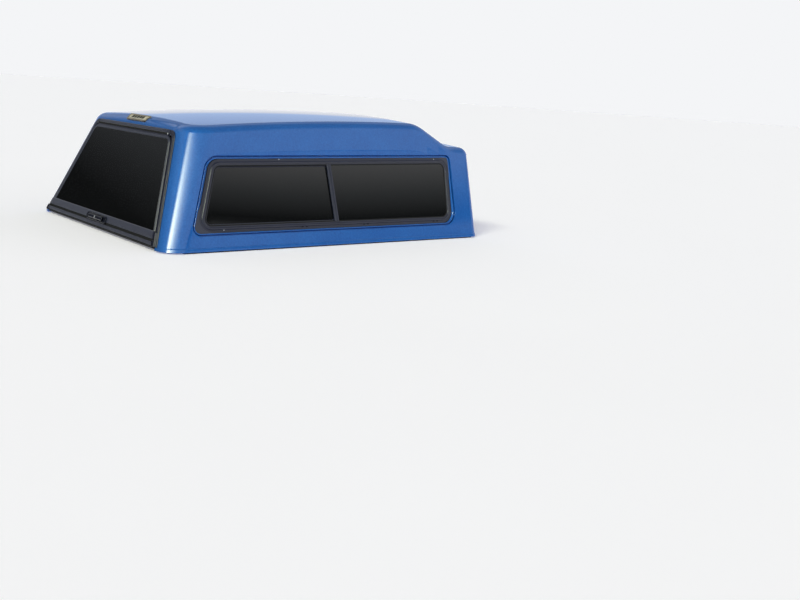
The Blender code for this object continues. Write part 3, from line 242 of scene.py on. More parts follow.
def metallic_paint():
    """Two-stage car paint on glass fibre: aluminium flake in blue, under a clear coat.

    The flake gives a fine sparkle and a colour that lightens towards the light; the coat
    gives sharp reflections with the faint waviness that sprayed lacquer sets with.
    """
    made, tree, shader, place = material(
        "metallic_car_paint", Metallic=0.60, Roughness=0.66, Coat_Weight=1.0, Coat_Roughness=0.03,
        Coat_IOR=1.5, Specular_Tint=linear("#7fa4ee"))
    flake = add(tree, "TexVoronoi", {"Scale": per_metre(0.9)}, {"Vector": place})
    share = add(tree, "MapRange", {"To Min": 0.25, "To Max": 0.75}, {"Value": flake})
    for across, detail, depth in ((160, 2.0, 0.08), (9, 3.0, 0.16)):
        cloud = add(tree, "TexNoise", {"Scale": per_metre(across), "Detail": detail}, {"Vector": place})
        drift = add(tree, "MapRange", {"From Min": 0.3, "From Max": 0.7, "To Min": -depth, "To Max": depth},
                    {"Value": cloud})
        share = add(tree, "Math", None, {0: share, 1: drift}, operation="ADD")
    add(tree, "Mix", {"A": linear("#114fa1"), "B": linear("#2b78c8")}, {"Factor": share},
        shader["Base Color"], data_type="RGBA")
    add(tree, "Bump", {"Strength": 0.10, "Distance": 0.0003}, {"Height": flake}, shader["Normal"])
    peel = add(tree, "TexNoise", {"Scale": per_metre(7), "Detail": 1.0}, {"Vector": place})
    add(tree, "Bump", {"Strength": 0.035, "Distance": 0.0004}, {"Height": peel}, shader["Coat Normal"])
    return made


def spatter_coat():
    """Grey spatter-coated laminate inside the shell: the glass strands still show as a soft unevenness."""
    made, tree, shader, place = material("spatter_coated_laminate", Roughness=0.62)
    dots = add(tree, "TexVoronoi", {"Scale": per_metre(5)}, {"Vector": place})
    share = add(tree, "MapRange", {"From Min": 0.12, "From Max": 0.30}, {"Value": dots})
    add(tree, "Mix", {"A": linear("#565a60"), "B": linear("#8d9197")}, {"Factor": share},
        shader["Base Color"], data_type="RGBA")
    strand = add(tree, "TexNoise", {"Scale": per_metre(18), "Detail": 5.0, "Roughness": 0.7},
                 {"Vector": place})
    add(tree, "Bump", {"Strength": 0.5, "Distance": 0.0015}, {"Height": strand}, shader["Normal"])
    return made


def satin_black_aluminium(name, dark, light):
    """Extruded aluminium with a satin powder coat: a soft sheen over a fine pebbled skin."""
    return mottled(name, 45, 3.0, dark, light, rough=(0.30, 0.44), grain=(1.6, 2.0), bump=(0.10, 0.0002),
                   Specular_IOR_Level=0.65)


def moulded_black_abs():
    """Injection-moulded ABS, fine spark-eroded grain: dark, slightly blue where it turns to the light."""
    return mottled("moulded_black_abs", 1.2, 3.0, "#0b0d18", "#151826", bump=(0.08, 0.0002),
                   Roughness=0.16, Specular_IOR_Level=0.35)


def sealing_rubber():
    """EPDM rubber: matt, nearly black, a little dusty."""
    return mottled("epdm_rubber", 12, 4.0, "#0b0b0c", "#191a1b", bump=(0.2, 0.0003), Roughness=0.82,
                   Specular_IOR_Level=0.3)


def privacy_glass():
    """Body-tinted float glass: polished, and so dark that mostly the reflection is seen."""
    return mottled("privacy_float_glass", 300, 1.0, "#08090a", "#0b0c0d", Roughness=0.0, IOR=1.52,
                   Transmission_Weight=0.2)


def plated_steel():
    """Zinc-plated steel: bright, with the faint cloudy spangle of the plating."""
    return mottled("zinc_plated_steel", 6, 3.0, "#9fa1a4", "#c6c8cb", rough=(0.24, 0.42), Metallic=1.0)


def vacuum_plated_plastic():
    """Plastic bezel with a warm vacuum-metallised skin, slightly dulled by weather."""
    return mottled("metallised_plastic", 9, 4.0, "#7c6f58", "#b3a68d", Metallic=1.0, Roughness=0.30)


def lens_acrylic():
    """Clear moulded acrylic over the lamp's reflector: pale, glossy, with moulded ribs."""
    made, tree, shader, place = material("clear_acrylic_lens", Roughness=0.08, IOR=1.49)
    ribs = add(tree, "TexWave", {"Scale": per_metre(4) / (2 * pi) * 3, "Distortion": 0.0}, {"Vector": place},
               bands_direction="X").node.outputs["Fac"]
    add(tree, "Mix", {"A": linear("#a49b86"), "B": linear("#c9c1ac")}, {"Factor": ribs},
        shader["Base Color"], data_type="RGBA")
    add(tree, "Bump", {"Strength": 0.4, "Distance": 0.0004}, {"Height": ribs}, shader["Normal"])
    return made


PAINT = metallic_paint()
INSIDE = spatter_coat()
BLACK = satin_black_aluminium("black_powder_coat", "#131628", "#1c2036")
GRAPHITE = satin_black_aluminium("graphite_powder_coat", "#232636", "#2d3043")
ABS = moulded_black_abs()
RUBBER = sealing_rubber()
GLASS = privacy_glass()
STEEL = plated_steel()
BEZEL = vacuum_plated_plastic()
LENS = lens_acrylic()


# Shapes as numpy grids

def faces_of(rows, cols, wrap_rows=False, wrap_cols=True):
    """Quads of a grid of points held row by row; a wrapped direction joins its end to its start."""
    r = np.arange(rows if wrap_rows else rows - 1)[:, None]
    c = np.arange(cols if wrap_cols else cols - 1)[None, :]
    r1, c1 = (r + 1) % rows, (c + 1) % cols
    return np.stack([r * cols + c, r * cols + c1, r1 * cols + c1, r1 * cols + c], -1).reshape(-1, 4).tolist()


def solid(grid, place=None, ring=False):
    """A closed solid from a grid (rows, columns, 3) whose columns go round.

    A ring joins its last row to its first; otherwise the first and last rows are closed flat.
    place carries the points into the object's frame.
    """
    rows, cols, _ = grid.shape
    points = grid.reshape(-1, 3)
    faces = faces_of(rows, cols, ring)
    if not ring:
        faces += [list(range(cols))[::-1], list(range((rows - 1) * cols, rows * cols))]
    return (points if place is None else into(points, place)), faces


def space(origin, first, second, third):
    """A place to build in: an origin and the directions of three coordinates."""
    return np.array(origin, float), np.array([first, second, third], float)


def into(points, place):
    """Points of a place carried into the object's frame: origin plus each coordinate times its direction."""
    origin, axes = place
    return points @ axes + origin


def fresh(name, solids, finish):
    """A mesh object of one or more solids: doubles merged, faces outwards."""
    points, faces, count = [], [], 0
    for part_points, part_faces in solids:
        points.append(part_points)
        faces += [[i + count for i in face] for face in part_faces]
        count += len(part_points)
    mesh = bpy.data.meshes.new(name)
    mesh.from_pydata(np.concatenate(points).tolist(), [], faces)
    work = bmesh.new()
    work.from_mesh(mesh)
    bmesh.ops.remove_doubles(work, verts=work.verts, dist=2e-6)
    bmesh.ops.recalc_face_normals(work, faces=work.faces)
    work.to_mesh(mesh)
    work.free()
    mesh.materials.append(finish)
    made = bpy.data.objects.new(name, mesh)
    bpy.context.scene.collection.objects.link(made)
    return made


def dressed(made, body, *nodes, sharp=32):
    """Smooth shading with weighted normals; the piece rides on its body and stands for CAD nodes."""
    made.data.shade_smooth()
    made.data.set_sharp_from_angle(angle=radians(sharp))
    weighted = made.modifiers.new("even_shading", "WEIGHTED_NORMAL")
    weighted.keep_sharp = True
    weighted.weight = 90
    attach(made, body)
    if nodes:
        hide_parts(*nodes)
    return made


def piece(name, solids, finish, body, *nodes):
    """A finished piece of one or more solids, on its body."""
    return dressed(fresh(name, solids, finish), body, *nodes)


def carve(target, tools):
    """Takes each tool out of the target with exact Booleans, and keeps the result as plain mesh."""
    for tool in tools:
        cut = target.modifiers.new(tool.name, "BOOLEAN")
        cut.solver = "EXACT"
        cut.material_mode = "TRANSFER"
        cut.object = tool
    graph = bpy.context.evaluated_depsgraph_get()
    result = bpy.data.meshes.new_from_object(target.evaluated_get(graph))
    target.modifiers.clear()
    target.data = result
    for tool in tools:
        bpy.data.objects.remove(tool)
    return target


def corner_arcs(corners, radii, inset=0.0, steps=12):
    """Arcs (corner, step, 2) of a polygon with round corners.

    Each edge moves inwards along its normal by its inset and meets its neighbours again;
    each corner is then an arc that touches both edges, turned through in even steps.
    """
    pts = np.array(corners, float)
    insets = np.broadcast_to(np.array(inset, float), (len(pts),))
    run = np.roll(pts, -1, 0) - pts
    run /= np.linalg.norm(run, axis=1)[:, None]
    normal = np.column_stack([-run[:, 1], run[:, 0]])
    level = np.sum(normal * pts, 1) + insets
    before, before_level = np.roll(normal, 1, 0), np.roll(level, 1)
    cross = before[:, 0] * normal[:, 1] - before[:, 1] * normal[:, 0]
    corner = np.column_stack([before_level * normal[:, 1] - level * before[:, 1],
                              before[:, 0] * level - normal[:, 0] * before_level]) / cross[:, None]
    back, ahead = -np.roll(run, 1, 0), run
    half = np.arccos(np.clip(np.sum(back * ahead, 1), -1, 1)) / 2
    radius = np.maximum(np.array(radii) - np.minimum(np.roll(insets, 1), insets), 1e-6)
    bisector = back + ahead
    bisector /= np.linalg.norm(bisector, axis=1)[:, None]
    centre = corner + bisector * (radius / np.sin(half))[:, None]
    start = corner + back * (radius / np.tan(half))[:, None] - centre
    turn = (np.sign(cross) * (pi - 2 * half))[:, None] * np.linspace(0, 1, steps + 1)
    c, s = np.cos(turn), np.sin(turn)
    return centre[:, None] + np.stack([start[:, :1] * c - start[:, 1:] * s,
                                       start[:, :1] * s + start[:, 1:] * c], -1)


def rounded(corners, radii, inset=0.0, steps=12):
    """Closed outline of a polygon with round corners, each corner's arc after the last."""
    return corner_arcs(corners, np.broadcast_to(radii, len(corners)), inset, steps).reshape(-1, 2)


def trapezium(half_low, half_high, low, high):
    """Corners of a shape that is symmetrical from side to side: two at its low edge, two at its high edge."""
    return [(-half_low, low), (half_low, low), (half_high, high), (-half_high, high)]


def capsule(half_length, half_height):
    """Closed outline of a flat oval with round ends."""
    return rounded(trapezium(half_length, half_length, -half_height, half_height),
                   half_height * 0.999, 0.0, 14)


def eased(section, radius=0.0004, steps=2):
    """A section whose corners are slightly rounded, as an extruded or moulded edge is."""
    return rounded(section, radius, 0.0, steps)


def carried(outline_at, section):
    """Grid of a section carried round an outline: a row is the outline at one inset, at its level."""
    return np.stack([np.column_stack([line, np.full(len(line), level)])
                     for inset, level in section for line in [outline_at(inset)]])


def drawn(section, start, end):
    """Grid of a section (second and third coordinate) drawn out along the first.

    Start and end are places along the first, one for all or one for each point.
    """
    return np.stack([np.column_stack([np.broadcast_to(place, len(section)), section])
                     for place in (start, end)])


def turned(profile, steps=24):
    """Grid of a turned shape about its first coordinate: each row is a circle of (place, radius)."""
    place, radius = np.array(profile, float).T[:, :, None]
    turn = np.linspace(0, 2 * pi, steps, endpoint=False)[None]
    return np.stack([np.broadcast_to(place, (len(profile), steps)), radius * np.cos(turn),
                     radius * np.sin(turn)], -1)


def slab(outline_at, low, high, edge, place):
    """A flat plate between two levels, its edges rounded by quarter circles of that radius."""
    turn = np.linspace(0, pi / 2, 4)
    lower = [(edge * (1 - sin(t)), low + edge * (1 - cos(t))) for t in turn]
    upper = [(edge * (1 - cos(t)), high - edge * (1 - sin(t))) for t in turn]
    return solid(carried(outline_at, lower + upper), place)


def swept(name, outline_at, section, place, finish, body, *nodes):
    """A piece that is a frame: a section carried all the way round an outline."""
    return piece(name, [solid(carried(outline_at, section), place, True)], finish, body, *nodes)


def pane(name, outline_at, play, top, place, body, node, edge=0.0005):
    """A sheet of glass below a level, with its play inside an outline."""
    return piece(name, [slab(lambda inset: outline_at(play + inset), top - GLASS_THICK, top, edge, place)],
                 GLASS, body, node)


# Places on the object

REAR = space(DOOR_ORIGIN, (1, 0, 0), UP_DOOR, OUT_DOOR)
FRONT = space((0, FRONT_Y, BASE_Z), (-1, 0, 0), (0, sin(FRONT_ANGLE), cos(FRONT_ANGLE)),
              (0, cos(FRONT_ANGLE), -sin(FRONT_ANGLE)))


def side_space(side):
    """Forward, up the wall and outward, on the right or left wall."""
    return space((side * HALF_BASE, REAR_Y, BASE_Z), (0, 1, 0),
                 (-side * sin(SIDE_ANGLE), 0, cos(SIDE_ANGLE)), (side * cos(SIDE_ANGLE), 0, sin(SIDE_ANGLE)))


# The moulding

def soft_ramp(s):
    """Zero, then a climb of one to one, joined by a parabola."""
    r = STEP_SOFTNESS
    return np.where(s < -r, 0.0, np.where(s > r, s, (s + r) ** 2 / (4 * r)))


def roof_z(x, y):
    """Roof height: a paraboloid crown less two soft ramps, which step down to the ledge before the cab."""
    along = y - REAR_Y
    crown = CROWN_HEIGHT - CROWN_BEND_LONG * (along - CROWN_BACK) ** 2 - CROWN_BEND_ACROSS * x ** 2
    step = soft_ramp(along - STEP_START) - soft_ramp(along - STEP_START - STEP_LENGTH)
    return BASE_Z + crown - STEP_DROP / STEP_LENGTH * step


def plan(height, offset, corner_steps, side_steps, end_steps):
    """Outline of the walls at a height above the base: its points, inward normals and roof-edge radii.

    Straight sides and ends between quarter circles; every wall leans, and the rear circles
    grow with height.
    """
    a = HALF_BASE - SIDE_SLOPE * height - offset / cos(SIDE_ANGLE)
    rear = REAR_Y + REAR_SLOPE * height + offset / cos(REAR_ANGLE)
    front = FRONT_Y + FRONT_SLOPE * height - offset / cos(FRONT_ANGLE)
    r_rear = REAR_CORNER + REAR_CORNER_GROWTH * height - offset
    r_front = FRONT_CORNER - offset
    turn = np.linspace(0, pi / 2, corner_steps)
    along = np.linspace(0, 1, side_steps)[1:-1]
    across = np.linspace(0, 1, end_steps)[1:-1]

    def arc(cx, cy, radius, start, low, high):
        out = np.column_stack([np.cos(start + turn), np.sin(start + turn)])
        return np.array([cx, cy]) + radius * out, -out, low + (high - low) * turn / (pi / 2)

    def line(p, q, share, inward, edge):
        points = np.array(p) + (np.array(q) - np.array(p)) * share[:, None]
        return points, np.tile(inward, (len(share), 1)), np.full(len(share), edge)

    y0, y1 = rear + r_rear, front - r_front
    runs = [line((a, y0), (a, y1), along, (-1.0, 0.0), SIDE_EDGE),
            arc(a - r_front, y1, r_front, 0.0, SIDE_EDGE, FRONT_EDGE),
            line((a - r_front, front), (r_front - a, front), across, (0.0, -1.0), FRONT_EDGE),
            arc(r_front - a, y1, r_front, pi / 2, FRONT_EDGE, SIDE_EDGE),
            line((-a, y1), (-a, y0), along, (1.0, 0.0), SIDE_EDGE),
            arc(r_rear - a, y0, r_rear, pi, SIDE_EDGE, REAR_EDGE),
            line((r_rear - a, rear), (a - r_rear, rear), across, (0.0, 1.0), REAR_EDGE),
            arc(a - r_rear, y0, r_rear, 1.5 * pi, REAR_EDGE, SIDE_EDGE)]
    return tuple(np.concatenate(part) for part in zip(*runs))


def skin(offset, floor, lip, steps, wall_rows, edge_rows, roof_rows):
    """Grid of the moulding's skin, moved inwards by offset, from its floor up and over the roof.

    Rows go up the leaning walls, round an arc that touches wall and roof, and across the
    crowned roof, each a share of the way to a ridge line along the middle.
    """
    low, inward, edge = plan(0.0, offset, *steps)
    lean_vector = plan(1.0, offset, *steps)[0] - low
    lean = np.arctan(np.sum(lean_vector * inward, 1))
    radius = edge - offset

    def level_line(height):
        return low + lean_vector * height[:, None]

    # The brow, where wall and roof would meet, found by going to the roof's height again and again
    brow = np.full(len(low), CROWN_HEIGHT)
    for _ in range(12):
        at = level_line(brow)
        brow = roof_z(at[:, 0], at[:, 1]) - BASE_Z - offset
    at = level_line(brow)
    reach = radius * np.tan((pi / 2 - lean) / 2)
    rows = []

    def row(points, height):
        rows.append(np.column_stack([points, BASE_Z + height]))

    wall_top = brow - radius * (1 - np.cos(pi / 2 - lean))
    start = np.full(len(low), floor - BASE_Z)
    if lip:
        swell = -inward * (np.abs(inward[:, :1]) > 0.2)
        swell[:, 1] = np.where(low[:, 1] < REAR_Y + REAR_CORNER, 0.0, swell[:, 1])
        for height, proud in LIP_PROFILE:
            level = np.full(len(low), height)
            row(level_line(level) + swell * LIP_PROUD * proud, level)
        start = np.full(len(low), LIP_HEIGHT + LIP_PROUD)
    for share in np.linspace(0, 1, wall_rows)[:-1]:
        height = start + (wall_top - start) * share
        row(level_line(height), height)
    for share in np.linspace(0, 1, edge_rows):
        turn = (pi / 2 - lean) * (1 - share)
        drop = radius * (1 - np.cos(turn))
        here = at + inward * (reach - radius * np.sin(turn))[:, None]
        if share == 0:
            here = level_line(brow - drop)
        rise = (roof_z(here[:, 0], here[:, 1]) - BASE_Z - offset - brow) * share
        row(here, brow - drop + rise)
    brink = rows[-1][:, :2]
    middle = brink[:, 1].mean()
    ridge = np.column_stack([np.zeros(len(low)), middle + RIDGE_SHARE * (brink[:, 1] - middle)])
    for share in np.linspace(0, 1, roof_rows)[1:]:
        here = brink + (ridge - brink) * share
        row(here, roof_z(here[:, 0], here[:, 1]) - BASE_Z - offset)
    return np.stack(rows)


def closed_skin(grid):
    """The skin's grid as a solid: flat underneath, and closed along its ridge by merging."""
    rows, cols, _ = grid.shape
    return grid.reshape(-1, 3), faces_of(rows, cols) + [list(range(cols))[::-1]]


def recess_rear(height):
    """How far forward the recess's leaning rear edge is, at a height."""
    return RECESS_REAR_LOW + RECESS_REAR_LEAN * height


def recess_front(height):
    """How far forward the recess's front edge is, at a height; it leans as the front wall does."""
    return RECESS_FRONT + FRONT_SLOPE * height


def recess_top(forward):
    """Height of the recess's top edge, a straight line from rear to front."""
    rear, front = recess_rear(RECESS_HIGH_REAR), recess_front(RECESS_HIGH_FRONT)
    return RECESS_HIGH_REAR + (RECESS_HIGH_FRONT - RECESS_HIGH_REAR) * (forward - rear) / (front - rear)


def up_wall(height):
    """Distance up the leaning side wall for a height."""
    return height / cos(SIDE_ANGLE)


def window_corners(rear_low, front_low, front_high, rear_high):
    """Corners on the side wall, from places along the recess's lower edge and its upper edge."""
    low = up_wall(RECESS_LOW)
    return [(rear_low, low), (front_low, low), (front_high, up_wall(recess_top(front_high))),
            (rear_high, up_wall(recess_top(rear_high)))]


def recess_outline(inset):
    """Outline of the window recess on the side wall, moved inwards."""
    corners = window_corners(recess_rear(RECESS_LOW), recess_front(RECESS_LOW),
                             recess_front(RECESS_HIGH_FRONT), recess_rear(RECESS_HIGH_REAR))
    return rounded(corners, RECESS_RADII, inset, SIDE_STEPS)


def frame_outline(inset):
    """Outline of a window's frame on the floor of the recess, moved inwards."""
    corners = window_corners(recess_rear(RECESS_LOW) + FRAME_SET_BACK,
                             recess_front(RECESS_LOW) - FRAME_SET_IN, recess_front(RECESS_HIGH_FRONT),
                             recess_rear(RECESS_HIGH_REAR) + FRAME_SET_BACK)
    return rounded(corners, FRAME_RADII, FRAME_INSET + inset, SIDE_STEPS)


def front_outline(inset):
    """Outline of the front window's frame, moved inwards."""
    return rounded(trapezium(FRONT_WINDOW_HALF, FRONT_WINDOW_HALF, FRONT_WINDOW_LOW, FRONT_WINDOW_HIGH),
                   FRONT_WINDOW_RADIUS, inset)


def lamp_outline(inset):
    """Outline of the brake lamp's face, moved inwards."""
    return rounded(trapezium(LAMP_HALF_LOW, LAMP_HALF_HIGH, -LAMP_HALF_HEIGHT, LAMP_HALF_HEIGHT),
                   LAMP_RADIUS, inset, 6)


def lamp_space():
    """Along the lamp, up its face and out of it; its origin is on the rounded rear edge of the roof."""
    brow_y = REAR_Y + REAR_SLOPE * CROWN_HEIGHT
    brow_z = float(roof_z(0.0, brow_y))
    brow_y = REAR_Y + REAR_SLOPE * (brow_z - BASE_Z)
    out = np.array([0.0, -sin(LAMP_TILT), cos(LAMP_TILT)])
    centre = np.array([0.0, brow_y + REAR_EDGE * tan((pi / 2 - REAR_ANGLE) / 2), brow_z - REAR_EDGE])
    return space(centre + REAR_EDGE * out, (1, 0, 0), (0, cos(LAMP_TILT), sin(LAMP_TILT)), out)


LAMP = lamp_space()


def jamb_half(v):
    """Half-width over the jamb, at a distance v up the door from the hinge axis."""
    return JAMB_HALF_TOP - JAMB_TAPER * v


def jamb_arch(inset, bottom=JAMB_BOTTOM):
    """Open line up one side of the door opening, round its top corners and down the other side."""
    corners = trapezium(jamb_half(bottom), jamb_half(JAMB_TOP), bottom, JAMB_TOP)
    arcs = corner_arcs(corners, (0, 0, JAMB_RADIUS, JAMB_RADIUS), (0.0, inset, inset, inset))
    return np.concatenate([arcs[1, :1], arcs[2], arcs[3], arcs[0, :1]])


def recess_tool(side, name):
    """Tool of a pressed recess: a crisp brim, a deep narrow groove, a rounded bead and a flat floor."""
    floor, brim, reach = -RECESS_DEPTH, 0.0018, 0.0008
    section = [(inset, floor + rise) for inset, rise in (
        (0.0175, 0.0), (0.0160, 0.0003), (0.0148, 0.0016), (0.0136, 0.0034), (0.0120, 0.0048),
        (0.0102, 0.0054), (0.0086, 0.0050), (0.0074, 0.0036), (0.0067, 0.0012), (0.0062, -0.0044),
        (0.0054, -0.0052), (0.0020, -0.0052), (0.0012, -0.0044))]
    turn = np.linspace(radians(4), radians(74), 6)
    section += [(-brim * (1 - cos(t)), -brim * (1 - sin(t))) for t in turn]
    inset, level = section[-1]
    inset -= reach * sin(turn[-1])
    section += [(inset, level + reach * cos(turn[-1])), (inset, 0.060)]
    return fresh("recess_" + name, [solid(carried(recess_outline, section), side_space(side))], PAINT)


def moulded_shell():
    """The shell: outer skin less inner space, openings, recesses and the lamp's pocket."""
    outside = skin(SKIN_IN, BASE_Z, True, (22, 96, 60), wall_rows=12, edge_rows=16, roof_rows=28)
    inside = skin(WALL, BASE_Z + FLANGE_THICK, False, (12, 60, 30), wall_rows=8, edge_rows=8, roof_rows=14)
    shell = fresh("canopy_shell", [closed_skin(outside)], PAINT)
    inner = fresh("inner_space", [closed_skin(inside)], INSIDE)
    sides = ((1, "right"), (-1, "left"))

    def through(name, outline_at, inset, low, high, place, finish):
        """A tool of one outline, between two levels."""
        return fresh(name, [solid(carried(outline_at, ((inset, low), (inset, high))), place)], finish)

    carve(inner, [through("boss_" + name, recess_outline, -WALL, -RECESS_DEPTH - WALL, 0.06,
                          side_space(side), INSIDE) for side, name in sides])
    foot_half = HALF_BASE - FLANGE_WIDTH
    foot_rear = REAR_Y + WALL / cos(REAR_ANGLE)
    foot_front = FRONT_Y - FRONT_FLANGE_WIDTH

    def foot(inset):
        return rounded(trapezium(foot_half, foot_half, foot_rear, foot_front),
                       (REAR_CORNER, REAR_CORNER, FRONT_CORNER, FRONT_CORNER), inset)

    def opening(inset):
        return jamb_arch(JAMB_FACE - JAMB_METAL - GAP + inset, JAMB_BOTTOM - 0.08)

    tools = [inner,
             through("foot_opening", foot, 0.0, -0.01, BASE_Z + FLANGE_THICK + 0.001, None, INSIDE),
             through("door_opening", opening, 0.0, -0.045, 0.040, REAR, PAINT)]
    for side, name in sides:
        tools += [recess_tool(side, name),
                  through("window_hole_" + name, frame_outline, HOLE_INSET, -0.06, 0.02, side_space(side),
                          INSIDE)]
    tools += [through("front_hole", front_outline, HOLE_INSET, -0.04, 0.04, FRONT, INSIDE),
              through("lamp_pocket", lamp_outline, -GAP, -LAMP_POCKET, 0.03, LAMP, PAINT)]
    return dressed(carve(shell, tools), "canopy", "shell", sharp=38)


# Windows

def frame_section(flange):
    """Section of a window extrusion: low flange, broad rounded ridge, lip beside the glass, and web."""
    face = flange + FRAME_PROUD
    back = flange - FRAME_DEPTH + RECESS_DEPTH
    return eased([(0.0, flange), (0.0, flange + 0.0020), (0.0050, flange + 0.0026),
                  (0.0062, flange + 0.0018), (0.0140, flange + 0.0020), (0.0165, face - 0.0020),
                  (0.0180, face - 0.0006), (0.0200, face), (0.0225, face), (0.0247, face - 0.0008),
                  (0.0262, face - 0.0026), (0.0275, face - 0.0036), (FRAME_FACE, face - 0.0034),
                  (FRAME_FACE, face - GLASS_SEAT), (PIPE_IN, face - GLASS_SEAT), (PIPE_IN, back),
                  (FRAME_PIPE, back), (FRAME_PIPE, flange)])


def corner_filler(corner, before, after):
    """Grid of a flat plate that fills a sharp corner of the recess outside the frame's rounder corner.

    Its section lies between the recess's line and the frame's line, and is swept from a
    length before that corner, round it, to a length after it.
    """
    low, high = -RECESS_DEPTH + GAP, -RECESS_DEPTH + 0.0036
    rows = []
    for outline, inset, level in ((recess_outline, 0.0145, low), (recess_outline, 0.0137, high),
                                  (frame_outline, 0.004, high), (frame_outline, 0.004, low)):
        line = outline(inset).reshape(4, SIDE_STEPS + 1, 2)[corner]
        back, ahead = line[0] - line[1], line[-1] - line[-2]
        first = line[0] + back / np.linalg.norm(back) * before
        last = line[-1] + ahead / np.linalg.norm(ahead) * after
        line = np.concatenate([[first], line, [last]])
        rows.append(np.column_stack([line, np.full(len(line), level)]))
    return np.stack(rows).swapaxes(0, 1)


def clipped(outline, at):
    """The part of a convex outline forward of a line, closed along that line."""
    ahead = outline[:, 0] >= at
    following = np.roll(outline, -1, 0)
    crossing = ahead != np.roll(ahead, -1)
    share = (at - outline[crossing, 0]) / (following[crossing, 0] - outline[crossing, 0])
    cut = outline[crossing] + (following[crossing] - outline[crossing]) * share[:, None]
    order = np.concatenate([np.flatnonzero(ahead) * 2, np.flatnonzero(crossing) * 2 + 1])
    return np.concatenate([outline[ahead], cut])[np.argsort(order)]


def frame_furniture(side, name):
    """Pan-head screws, weep-slot covers and corner fillers of a side window's frame."""
    place = side_space(side)
    level = -RECESS_DEPTH + GAP + 0.0018
    screws, covers = [], []
    for forward, up in SCREWS:
        head = turned(SCREW_HEAD, 20)[..., [1, 2, 0]]
        screws.append(solid(head + (forward, up, level), place))
    piece("frame_screws_" + name, screws, STEEL, "canopy")
    for forward in WEEP_SLOTS:

        def cover(inset):
            return capsule(WEEP_HALF[0] - inset, WEEP_HALF[1] - inset) + (forward, WEEP_LEVEL)

        covers.append(slab(cover, level, level + 0.0012, 0.0004, place))
    piece("weep_covers_" + name, covers, ABS, "canopy")
    fillers = [solid(corner_filler(0, 0.055, 0.050), place), solid(corner_filler(2, 0.060, 0.020), place)]
    piece("corner_fillers_" + name, fillers, GRAPHITE, "canopy")


def side_window(side, name):
    """Window in the side wall: extruded frame, gasket, fixed pane, mullion, and a sliding sash behind."""
    place = side_space(side)
    flange = -RECESS_DEPTH + GAP
    face = flange + FRAME_PROUD
    glass_top = face - GLASS_SEAT - GAP
    swept("window_surround_" + name, frame_outline, frame_section(flange), place, BLACK, "canopy",
          "window_frame_" + name)
    bead = eased([(-0.0022, flange - GAP), (-0.0022, flange + 0.0018), (0.0012, flange + 0.0030),
                  (0.0012, flange + 0.0026), (-0.0002, flange + 0.0012), (-0.0002, flange - GAP)], 0.0002)
    swept("window_gasket_" + name, frame_outline, bead, place, RUBBER, "canopy")
    wedge = eased([(FRAME_FACE - 0.001, glass_top), (FRAME_FACE - 0.001, glass_top + 0.0014),
                   (FRAME_FACE + 0.0045, glass_top + 0.0005), (FRAME_FACE + 0.0045, glass_top)], 0.0002)
    swept("glazing_wedge_" + name, frame_outline, wedge, place, RUBBER, "canopy")
    frame_furniture(side, name)

    def fixed(inset):
        return clipped(frame_outline(PIPE_IN + GAP + inset), MULLION_PLACE + inset)

    pane("fixed_glass_" + name, fixed, 0.0, glass_top, place, "canopy", "fixed_pane_" + name)

    post_rear, post_front = MULLION_PLACE - MULLION_WIDTH / 2, MULLION_PLACE + MULLION_WIDTH / 2
    post = eased([(post_rear, glass_top - GLASS_THICK), (MULLION_PLACE - GAP, glass_top - GLASS_THICK),
                  (MULLION_PLACE - GAP, glass_top + GAP), (post_front, glass_top + GAP),
                  (post_front, face - 0.0015), (post_front - 0.0015, face), (MULLION_PLACE + 0.003, face),
                  (MULLION_PLACE + 0.002, face - 0.0022), (MULLION_PLACE - 0.002, face - 0.0022),
                  (MULLION_PLACE - 0.003, face), (post_rear + 0.0015, face), (post_rear, face - 0.0015)])
    low = up_wall(RECESS_LOW) + FRAME_INSET + FRAME_FACE + 0.0005
    high = up_wall(recess_top(MULLION_PLACE)) - FRAME_INSET - FRAME_FACE - 0.0005
    grid = np.stack([np.column_stack([post[:, 0], np.full(len(post), h), post[:, 1]]) for h in (low, high)])
    piece("meeting_post_" + name, [solid(grid, place)], BLACK, "canopy", "mullion_" + name)

    def sash_outline(inset):
        corners = window_corners(recess_rear(RECESS_LOW) + FRAME_SET_BACK, post_front, post_front,
                                 recess_rear(RECESS_HIGH_REAR) + FRAME_SET_BACK)
        edge = FRAME_INSET + PIPE_IN + 0.001 + inset
        return rounded(corners, (FRAME_RADII[0], 0.045, 0.045, FRAME_RADII[3]), (edge, inset, edge, edge))

    sash_top = glass_top - GLASS_THICK - 0.001
    sash_back = sash_top - 0.011
    half = GLASS_THICK / 2 + GAP
    mid = sash_top - half - 0.0012
    groove = SASH_FACE - 0.006
    section = eased([(0.0, sash_back), (0.0, sash_top), (SASH_FACE, sash_top), (SASH_FACE, mid + half),
                     (groove, mid + half), (groove, mid - half), (SASH_FACE, mid - half),
                     (SASH_FACE, sash_back)], 0.0005)
    swept("sash_" + name, sash_outline, section, place, BLACK, "canopy", "sliding_sash_" + name)
    pane("sash_glass_" + name, sash_outline, groove + GAP, mid + GLASS_THICK / 2, place, "canopy",
         "sliding_pane_" + name)


def front_window():
    """Fixed window that faces the cab."""
    top = FRAME_PROUD - GLASS_SEAT
    swept("front_surround", front_outline, frame_section(GAP), FRONT, BLACK, "canopy", "front_window_frame")
    pane("front_glass", front_outline, PIPE_IN + GAP, top, FRONT, "canopy", "front_window_glass")


# Rear door and its surround

